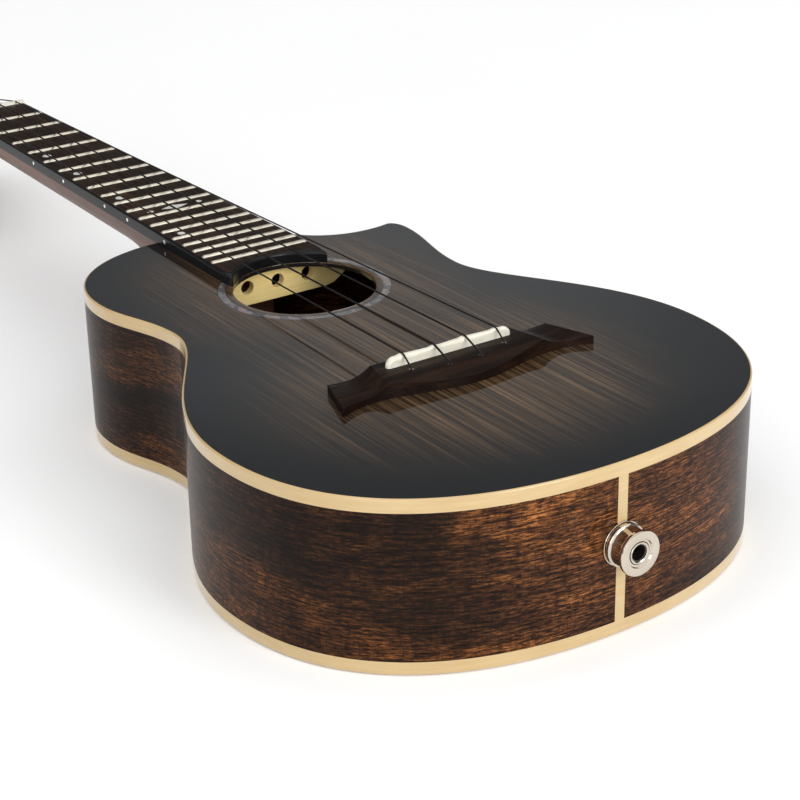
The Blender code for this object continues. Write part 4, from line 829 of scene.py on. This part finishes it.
def make_strings():
    block = TOP_Z + BRIDGE_TOP
    nut_z = TOP_Z + NUT_HEIGHT - 0.3
    for number, radius in enumerate(STRING_RADII):
        x, y = string_x(number), string_hole_y(number)
        crest = TOP_Z + SADDLE_TOP + radius - 0.05
        foot, lip, bend = (x, y, TOP_Z + 2.0), (x, y, block - 0.5), (x, y + 0.45, block + 0.7)
        behind = (x, SADDLE_Y - 1.5, crest - 0.35)
        rise = smooth_route([foot, lip, bend, behind], 0.4)
        over = smooth_route([behind, (x, SADDLE_Y - 0.3, crest), (x, SADDLE_Y + 1.5, crest)], 0.3)
        ahead = [Vector((nut_x(number), SCALE_LENGTH + beyond, nut_z)) for beyond in (0, 1.2)]
        route = rise[:-1] + over + ahead + winding(number)
        name = f"string_{number + 1}"
        piece(name + "_nylon", tube(route, radius, 10), NYLON, [name])


# ---- jack


def outward(shape):
    """A shape made about Z, laid on the jack's axis with +Z out of the tail."""
    vertices = [(x, -TAIL_LENGTH - z, JACK_Z + y) for x, y, z in shape[0]]
    return vertices, shape[1]


def make_jack():
    rim, face, barrel = JACK_RIM, JACK_REACH, JACK_BARREL
    outline = [(4.6, 0.02), (rim, 0.02), (rim, 0.7), (rim - 0.12, 0.85), (rim - 0.8, 0.9), (rim - 0.85, 1.3)]
    outline += [(rim - 0.35, 1.45), (rim - 0.3, 2.6), (rim - 0.45, 2.8), (rim - 1.0, 3.1), (rim - 1.15, 3.5)]
    outline += [(rim - 1.2, 7.2), (rim - 1.05, 7.9), (rim - 0.6, 8.4), (rim - 0.2, 8.6), (rim - 0.05, 8.75)]
    outline += [(rim, 8.95), (rim, face - 0.35), (rim - 0.12, face - 0.12), (rim - 0.4, face)]
    outline += [(barrel, face), (barrel - 0.2, face - 0.08), (5.3, face - 0.75), (4.6, face - 0.8)]
    spool = outward(revolve(outline, 96, ring=True))
    piece("jack_spool", spool, NICKEL, ["jack_strap_button"], angle=30)
    back = JACK_REACH - JACK_LENGTH
    outline = [(0.5, back), (1.8, back + 0.2), (1.8, back + 3), (4.4, back + 3.2), (4.4, back + 6)]
    outline += [(barrel, back + 7), (barrel, -0.3), (4.3, -0.3), (4.3, 9.85), (4.2, 10.0), (3.75, 10.0)]
    outline += [(3.4, 9.75), (3.3, 9.4), (3.3, back + 10), (0.5, back + 10)]
    liner = [(0.01, 3.0), (3.2, 3.0), (3.27, 9.35), (3.0, 9.3), (2.9, 4.0), (0.01, 4.0)]
    piece("jack_bore_liner", outward(revolve(liner, 48)), LINE, angle=30)
    piece("jack_tube", outward(revolve(outline, 72)), NICKEL, ["jack_barrel"], angle=30)


# ---- fingerboard


def board_loop(margin, fine=48):
    """The fingerboard's outline, which ends in two rounded points round the soundhole."""
    radius = HOLE_RADIUS + 0.2 + margin
    edge = board_half(HOLE_Y + HOLE_RADIUS) - margin
    tip_x = edge - BOARD_TIP_ROUND
    end_angle = math.degrees(math.acos(tip_x / radius))
    tip = (tip_x, HOLE_Y + radius * math.sin(math.radians(end_angle)))
    turn_y = tip[1] + 2.6 * BOARD_TIP_ROUND
    right = [(board_half(SCALE_LENGTH) - margin, SCALE_LENGTH), (board_half(BODY_END) - margin, BODY_END)]
    corner = bezier((edge, turn_y), (edge, turn_y - 3.5), (tip_x + 1.3, tip[1] - 1.2), tip, 16)
    bow = arc((0, HOLE_Y), radius, end_angle, 180 - end_angle, fine)
    return right + corner + bow + list(reversed(mirror_path(right + corner)))


def fret_shape(number):
    y = fret_y(number)
    half = board_half(y) - BOARD_EDGE - 0.35
    profile = [(-1.0, -0.2), (-1.0, 0.12)]
    for k in range(9):
        a = math.pi * k / 8
        profile.append((-0.95 * math.cos(a), 0.15 + 0.83 * math.sin(a)))
    profile += [(1.0, 0.12), (1.0, -0.2)]
    rows = []
    ends = [(-half, 0.35), (-half + 0.35, 0.8), (-half + 0.9, 1.0)]
    for x, lean in ends + [(-x, lean) for x, lean in reversed(ends)]:
        rows.append([(x, y + a, BOARD_TOP + b * (lean if b > 0.15 else 1)) for a, b in profile])
    return loft(rows)


def make_board():
    low = TOP_Z + 0.05
    board = prism([board_loop(BOARD_EDGE)], low, BOARD_TOP)
    piece("fretboard_wood", board, BOARD, ["fretboard"], angle=50)
    frets = joined(*[fret_shape(i + 1) for i in range(FRETS)])
    piece("fret_wires", frets, FRET_METAL, angle=60)
    rounded = arc((1, 0), 1, 180, 90, 8)
    profile = [(0, low)] + [(x * BOARD_EDGE, BOARD_TOP - 0.55 + 0.55 * z) for x, z in rounded]
    profile.append((BOARD_EDGE, low))
    rows = []
    end_y = HOLE_Y + HOLE_RADIUS + 12
    for outer, inner in zip(board_loop(0), board_loop(BOARD_EDGE)):
        row = [Vector(outer).lerp(Vector(inner), d / BOARD_EDGE) for d, _ in profile]
        sink = 1.0 + 2.4 * min(max((end_y - outer[1]) / 14, 0.0), 1.0)
        rows.append([(p.x, p.y, max(low, BOARD_TOP - (BOARD_TOP - z) * (sink if z > low else 1)))
                     for p, (_, z) in zip(row, profile)])
    piece("fretboard_edge", loft(rows), BLACK, ["fretboard_binding"], angle=50)
    make_markers()


def make_markers():
    """Pearl dots off centre on the board, a lozenge between two dots at fret 12, and dots on its side."""
    faces, sides = [], []
    for number, radius in ((5, 2.2), (7, 2.2), (10, 2.2), (12, 1.5), (15, 1.8)):
        y = (fret_y(number) + fret_y(number - 1)) / 2
        half = board_half(y)
        if number == 12:
            faces.append([(x, y + b) for x, b in ((0, 2.8), (-7.0, 0), (0, -2.8), (7.0, 0))])
            faces += [circle(radius, 32, (x, y)) for x in (-12.825, 12.825)]
        else:
            faces.append(circle(radius, 40, (-0.64 * half, y)))
        for offset in (-2.6, 2.6) if number == 12 else (0,):
            spot = Matrix.Translation((-half - 0.03, y + offset, BOARD_TOP - 2.4))
            dot = prism([circle(0.85, 32)], 0, 0.5)
            sides.append(placed(dot, spot @ Matrix.Rotation(math.pi / 2, 4, "Y")))
    dots = joined(*[prism([face], BOARD_TOP - 0.3, BOARD_TOP + 0.03) for face in faces])
    piece("board_markers", dots, PEARL)
    piece("side_dots", joined(*sides), PEARL)


def make_nut():
    half = NUT_WIDTH / 2
    rows = []
    for x in np.linspace(-half, half, 241):
        groove = 0.0
        for number in range(4):
            off = abs(x - nut_x(number)) / (STRING_RADII[number] + 0.12)
            if off < 1:
                groove = 0.75 * math.sqrt(1 - off * off) + 0.35
        edge = min(half - abs(x), 0.6) / 0.6
        high = NUT_HEIGHT - 0.25 * (1 - edge) ** 2
        back = NUT_THICKNESS
        profile = [(0.0, 0.1), (back, 0.1), (back, high - 1.9), (back - 0.35, high - 1.4)]
        profile += [(back - 1.6, high - 0.5 - 0.7 * groove), (1.3, high - groove)]
        profile += [(0.3, high - groove - 0.05), (0.0, high - 0.4 - groove * 0.6)]
        rows.append([(x, SCALE_LENGTH + y, TOP_Z + z) for y, z in profile])
    piece("nut_bone", loft(rows), BONE, ["nut"], angle=45)


# ---- neck and headstock


def d_arc(half, edge, spine, count=36):
    """A D section between two edges and the spine, each edge and the spine as (y, z)."""
    points = []
    for i in range(count + 1):
        angle = math.pi * i / count
        down = math.sin(angle) ** 0.85
        across = math.cos(angle)
        x = half * math.copysign(abs(across) ** 0.9, across)
        points.append((x, edge[0] + (spine[0] - edge[0]) * down, edge[1] + (spine[1] - edge[1]) * down))
    return points


def neck_depth(y):
    return 13.5 + 2.0 * (SCALE_LENGTH - y) / (SCALE_LENGTH - BODY_END)


def neck_rows():
    face = BODY_END + 0.05
    shaft_end = face + 38.3
    rows = []
    for y in np.linspace(SCALE_LENGTH + NUT_THICKNESS + 0.3, shaft_end, 40):
        half = board_half(min(y, SCALE_LENGTH)) - 0.05
        rows.append(d_arc(half, (y, TOP_Z), (y, TOP_Z - neck_depth(y))))
    start = (shaft_end, TOP_Z - neck_depth(shaft_end))
    heel_low, heel_half = 3.5, 11.0
    cap = (face + 13.0, heel_low)
    steps = 60
    spine = bezier(start, (face + 17.0, start[1] - 0.5), (cap[0] + 1.5, start[1] - 14), cap, steps) + [cap]
    for i, point in enumerate(spine[1:], 1):
        share = i / steps
        if share <= 0.5:
            edge = (shaft_end + (face - shaft_end) * share / 0.5, TOP_Z)
            half = board_half(edge[0]) - 0.05
        else:
            fall = (share - 0.5) / 0.5
            edge = (face, TOP_Z + (heel_low - TOP_Z) * fall)
            half = heel_half + (board_half(face) - heel_half) * (1 - fall) ** 1.4
        rows.append(d_arc(half, edge, point))
    return rows


def head_half_outline(fine=6):
    nut, shoulder = (NUT_WIDTH / 2, 0.0), (HEAD_SHOULDER_HALF, 26.0)
    crown, dip = (HEAD_CROWN_HALF, HEAD_LENGTH - 14.0), (15.0, HEAD_LENGTH - 5.0)
    peak = (0.0, HEAD_LENGTH)
    flare = bezier(nut, (nut[0] + 0.5, 12.0), (shoulder[0] - 6.0, 17.0), shoulder, 6 * fine)
    side = bezier(shoulder, (shoulder[0] + 3.0, 31.0), (crown[0] + 0.6, crown[1] - 30.0), crown, 4 * fine)
    corner = bezier(crown, (crown[0] - 0.3, crown[1] + 7.0), (dip[0] + 11.0, dip[1] + 1.0), dip, 5 * fine)
    top = bezier(dip, (dip[0] - 6.0, dip[1] - 0.5), (peak[0] + 7.0, peak[1]), peak, 4 * fine)
    return flare + side + corner + top + [peak]


def head_loop(start, share=1.0):
    right = [(x * share, max(y, start)) for x, y in head_half_outline()]
    return right + list(reversed(mirror_path(right)))[1:]


def bored(loop, low, high):
    """A slab of the head with a hole for each post's bushing."""
    return prism([loop] + [circle(4.6, 36, post) for post in POSTS], low, high)


def make_neck():
    shaft = loft(neck_rows())
    head = placed(bored(head_loop(0.0, 0.999), -HEAD_THICKNESS, 0.0), HEAD_FRAME)
    piece("neck_wood", joined(shaft, head), NECK_WOOD, ["neck"], bevel=0.5, angle=50)
    veneer = placed(bored(head_loop(1.2, 0.999), 0.0, GAP + VENEER_THICKNESS), HEAD_FRAME)
    piece("head_veneer", veneer, HEAD_VENEER, ["headplate"], bevel=0.35, angle=50)


# ---- tuning machines

GEAR_MODULE = 5.0 / 7.0
WHEEL_TEETH = 14
WHEEL_RADIUS = GEAR_MODULE * WHEEL_TEETH / 2
WORM_RADIUS = 2.5
WORM_OUTER = WORM_RADIUS + 0.95 * GEAR_MODULE
PLATE_THICKNESS = 1.2
WORM_DROP = GAP + PLATE_THICKNESS + GAP + WORM_OUTER
GEAR_CENTRES = WHEEL_RADIUS + WORM_RADIUS
WORM_LENGTH = 7.6
LUG_THICKNESS = 1.6
SHAFT_RADIUS = 1.5
BUTTON_CLEARANCE = 2.5


def make_tuner(number):
    """Fine plate, bushing and button; the worm and the post with its wheel keep their CAD teeth."""
    x, y = POSTS[number]
    side = 1 if x > 0 else -1
    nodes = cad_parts
    name = f"tuner_{number + 1}_"
    spot = HEAD_FRAME @ Matrix.Translation((x, y, -HEAD_THICKNESS))
    shaft_spot = spot @ Matrix.Translation((0, -GEAR_CENTRES, -WORM_DROP))
    make_plate(name, spot, shaft_spot)
    make_bushing(name, spot)
    make_button(name, side, shaft_spot, f"key_{number + 1}")
    nodes[name + "worm"].data.materials[0] = NICKEL
    nodes[name + "post"].data.materials[0] = BRASS
    make_post_cap(name, spot, f"post_{number + 1}")


def make_plate(name, spot, shaft_spot):
    radius = WHEEL_RADIUS + 1.6
    half = WORM_LENGTH / 2 + GAP + LUG_THICKNESS + 1.2
    foot = -GEAR_CENTRES - 4.5
    right = [(half - 1.5, foot), (half, foot + 1.5), (half, -GEAR_CENTRES + 3.5)]
    loop = arc((0, 3.0), radius, 0, 180, 40) + list(reversed(mirror_path(right))) + right
    back = -GAP - PLATE_THICKNESS
    plate = placed(prism([loop, circle(POST_RADIUS + 0.2, 40)], back, -0.02), spot)
    rise = WORM_DROP + back + PLATE_THICKNESS / 2
    wide = SHAFT_RADIUS + 0.15 + 1.1
    lug = arc((0, 0), wide, 180, 360, 24) + [(wide + 0.4, rise), (-wide - 0.4, rise)]
    lugs = []
    near = WORM_LENGTH / 2 + GAP
    for end in (-1, 1):
        low, high = sorted((end * near, end * (near + LUG_THICKNESS)))
        shape = prism([lug, circle(SHAFT_RADIUS + 0.12, 32)], low, high)
        turned = [(c, a, b) for a, b, c in shape[0]], shape[1]
        lugs.append(placed(turned, shaft_spot))
    corners = ((0, WHEEL_RADIUS + 2.6), (-half + 1.6, foot + 1.9), (half - 1.6, foot + 1.9))
    screws = [placed(screw_head(1.25), spot @ Matrix.Translation((x, y, back))) for x, y in corners]
    piece(name + "plate_fine", joined(plate, *lugs), NICKEL, [name + "plate"], bevel=0.18, angle=50)
    piece(name + "screws", joined(*screws), NICKEL, angle=40)


def screw_head(radius):
    """A low screw head that faces -Z, with a dimple in its middle."""
    profile = [(0.05, -0.25), (0.3, -0.6), (radius * 0.7, -0.55), (radius, -0.2)]
    profile += [(radius, 0.15), (0.05, 0.15)]
    return revolve(profile, 24)


def make_bushing(name, spot):
    inner, outer = POST_RADIUS + 0.15, POST_RADIUS + 1.45
    face = HEAD_THICKNESS + GAP + VENEER_THICKNESS
    rim = outer + 1.4
    profile = [(inner, face - 8), (outer, face - 8), (outer, face), (rim, face), (rim, face + 0.35)]
    profile += [(rim - 0.2, face + 0.6), (outer + 0.6, face + 0.85), (outer - 0.2, face + 1.5)]
    profile += [(inner + 0.2, face + 1.75), (inner, face + 1.6)]
    bushing = placed(revolve(profile, 48, ring=True), spot)
    piece(name + "bushing_fine", bushing, NICKEL, [name + "bushing"], angle=40)


def make_post_cap(name, spot, body):
    """A nickel cap let into the post's top."""
    radius, low = POST_RADIUS - 0.5, POST_TOP - 0.4
    profile = [(0.05, POST_TOP - 0.05), (radius - 0.25, POST_TOP), (radius - 0.05, POST_TOP - 0.05)]
    profile += [(radius, low), (0.05, low)]
    piece(name + "post_dome", placed(revolve(profile, 40), spot), NICKEL, body=body, angle=40)


def make_button(name, side, shaft_spot, body):
    """A flat oval button on a collar, from (distance along the shaft, half width, half thickness)."""
    start = HEAD_CROWN_HALF - POSTS[3][0] + BUTTON_CLEARANCE
    neck, length, wide, thick = 3.4, 14.0, 8.0, 3.4
    collar = SHAFT_RADIUS + 1.3
    outline = [(x, collar - less, collar - less) for x, less in ((0.0, 0.3), (0.25, 0), (2.3, 0), (2.7, 0.4))]
    outline.append((3.2, 3.5, 2.5))
    for i in range(25):
        angle = math.pi * (0.14 + 0.855 * i / 24)
        swell = math.sin(angle) ** 0.55
        x = neck + (length - neck) * (1 - math.cos(angle)) / 2
        outline.append((x, wide * swell, thick * swell ** 1.3))
    turn = circle(1.0, 48)
    rows = [[(side * (start + x), a * c, b * s) for c, s in turn] for x, a, b in outline]
    button = placed(loft(rows), shaft_spot)
    piece(name + "button_fine", button, PEARL, [name + "button"], body=body, angle=50)


# ---- inside


def dress_inside():
    """Materials of the CAD nodes that keep their own meshes."""
    finishes = {
        SPRUCE: ["soundhole_brace", "transverse_brace", "fan_brace_bass", "fan_brace_centre",
                 "fan_brace_treble"],
        MAHOGANY: ["back_brace_lower", "back_brace_upper", "tail_block", "neck_block", "lining_top_bass",
                   "lining_top_treble", "lining_back_bass", "lining_back_treble"],
        BRIDGE_WOOD: ["bridge_plate"],
        NICKEL: ["piezo_strip", "jack_washer"],
        BRASS: ["jack_nut"],
        JACKET: ["pickup_lead"],
    }
    for finish, names in finishes.items():
        for name in names:
            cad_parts[name].data.materials[0] = finish


# ---- stage

CAMERA_EYE = (-420.5, -592.4, 381.55)
CAMERA_AZIMUTH = 33.87  # to the right of +Y
CAMERA_DROP = 24.206  # below the horizon
CAMERA_ROLL = -1.114
CAMERA_LENS = 91.28

# brightness of the surroundings by the sine of the height above the horizon
WORLD_SWEEP = ((0.05, 0.90), (0.16, 0.47), (0.30, 0.35), (0.40, 0.36), (0.435, 0.20), (0.47, 0.11),
               (0.60, 0.06))
SWEEP_AZIMUTH, SWEEP_SIDE = 34.5, 0.5  # the brightest bearing, and how bright it stays to each side

FLOOR_REACH, FLOOR_Z = 12.0, -0.0005  # metres
SUN_POWER, SUN_SPREAD, SUN_WAY = 2.9, 130, (0.25, 0.35, -1.0)


def make_camera():
    data = bpy.data.cameras.new("camera")
    data.lens = CAMERA_LENS
    data.sensor_width = 36.0
    data.clip_start, data.clip_end = 0.01, 50.0
    camera = shown("camera", data)
    turn = Matrix.Rotation(-math.radians(CAMERA_AZIMUTH), 4, "Z")
    turn @= Matrix.Rotation(math.radians(90 - CAMERA_DROP), 4, "X")
    turn @= Matrix.Rotation(math.radians(CAMERA_ROLL), 4, "Z")
    camera.matrix_world = Matrix.Translation(Vector(CAMERA_EYE) * MM) @ turn
    SCENE.camera = camera


def aim(light, way):
    light.rotation_euler = Vector(way).to_track_quat("-Z", "Y").to_euler()


def area_light(name, place, target, size, power):
    data = bpy.data.lights.new(name, "AREA")
    data.shape = "RECTANGLE"
    data.size = data.size_y = size
    data.energy = power
    light = shown(name, data)
    light.location = place
    aim(light, Vector(target) - Vector(place))


def studio_world():
    """A sweep that is pale at the horizon and falls to dim overhead, for the lacquer to mirror."""
    world = bpy.data.worlds.new("studio")
    world.use_nodes = True
    g = Nodes(world.node_tree)
    where = g.add("ShaderNodeTexCoord", {}).outputs["Generated"]
    height = g.add("ShaderNodeSeparateXYZ", {0: where}).outputs["Z"]
    sweep = g.ramp(height, *[(at, (0.95 * level, 0.98 * level, level)) for at, level in WORLD_SWEEP])
    turn = math.radians(SWEEP_AZIMUTH)
    inputs = {0: where, 1: (math.cos(turn), -math.sin(turn), 0)}
    aside = g.add("ShaderNodeVectorMath", inputs, operation="DOT_PRODUCT").outputs["Value"]
    fall = g.span(g.math("ABSOLUTE", aside), 0.03, 0.20, 1.0, SWEEP_SIDE, smooth=True)
    background = world.node_tree.nodes["Background"]
    g.fill(background.inputs["Color"], sweep)
    g.fill(background.inputs["Strength"], fall)
    return world


def floor_material():
    g = Graph("floor_look", (0.86, 0.86, 0.86), 0.7, 0.1)
    cloud = g.noise((3, 3, 3), detail=2.0)
    g.set("Base Color", g.ramp(cloud, (0.3, (0.925, 0.925, 0.925)), (0.7, (0.945, 0.945, 0.945))))
    g.set("Emission Color", (1.0, 1.0, 1.0, 1.0))
    g.set("Emission Strength", 0.07)
    return g.material


def make_stage():
    mesh = bpy.data.meshes.new("floor")
    corners = ((-1, -1), (1, -1), (1, 1), (-1, 1))
    mesh.from_pydata([(x * FLOOR_REACH, y * FLOOR_REACH, FLOOR_Z) for x, y in corners], [], [(0, 1, 2, 3)])
    mesh.materials.append(floor_material())
    shown("floor", mesh)
    SCENE.view_settings.view_transform = "Standard"
    SCENE.world = studio_world()
    sun = bpy.data.lights.new("soft_sun", "SUN")
    sun.energy = SUN_POWER
    sun.angle = math.radians(SUN_SPREAD)
    aim(shown("soft_sun", sun), SUN_WAY)
    area_light("key", (-1.5, -1.1, 0.75), (0, 0, 0.03), 1.0, 5)
    area_light("fill", (0.35, -1.7, 0.75), (0, -0.05, 0.05), 0.7, 15)


make_top()
make_rosette()
make_back()
make_sides()
make_bindings()
make_graft()
make_bridge()
make_saddle()
make_strings()
make_jack()
make_board()
make_nut()
make_neck()
for tuner in range(4):
    make_tuner(tuner)
dress_inside()
make_camera()
make_stage()
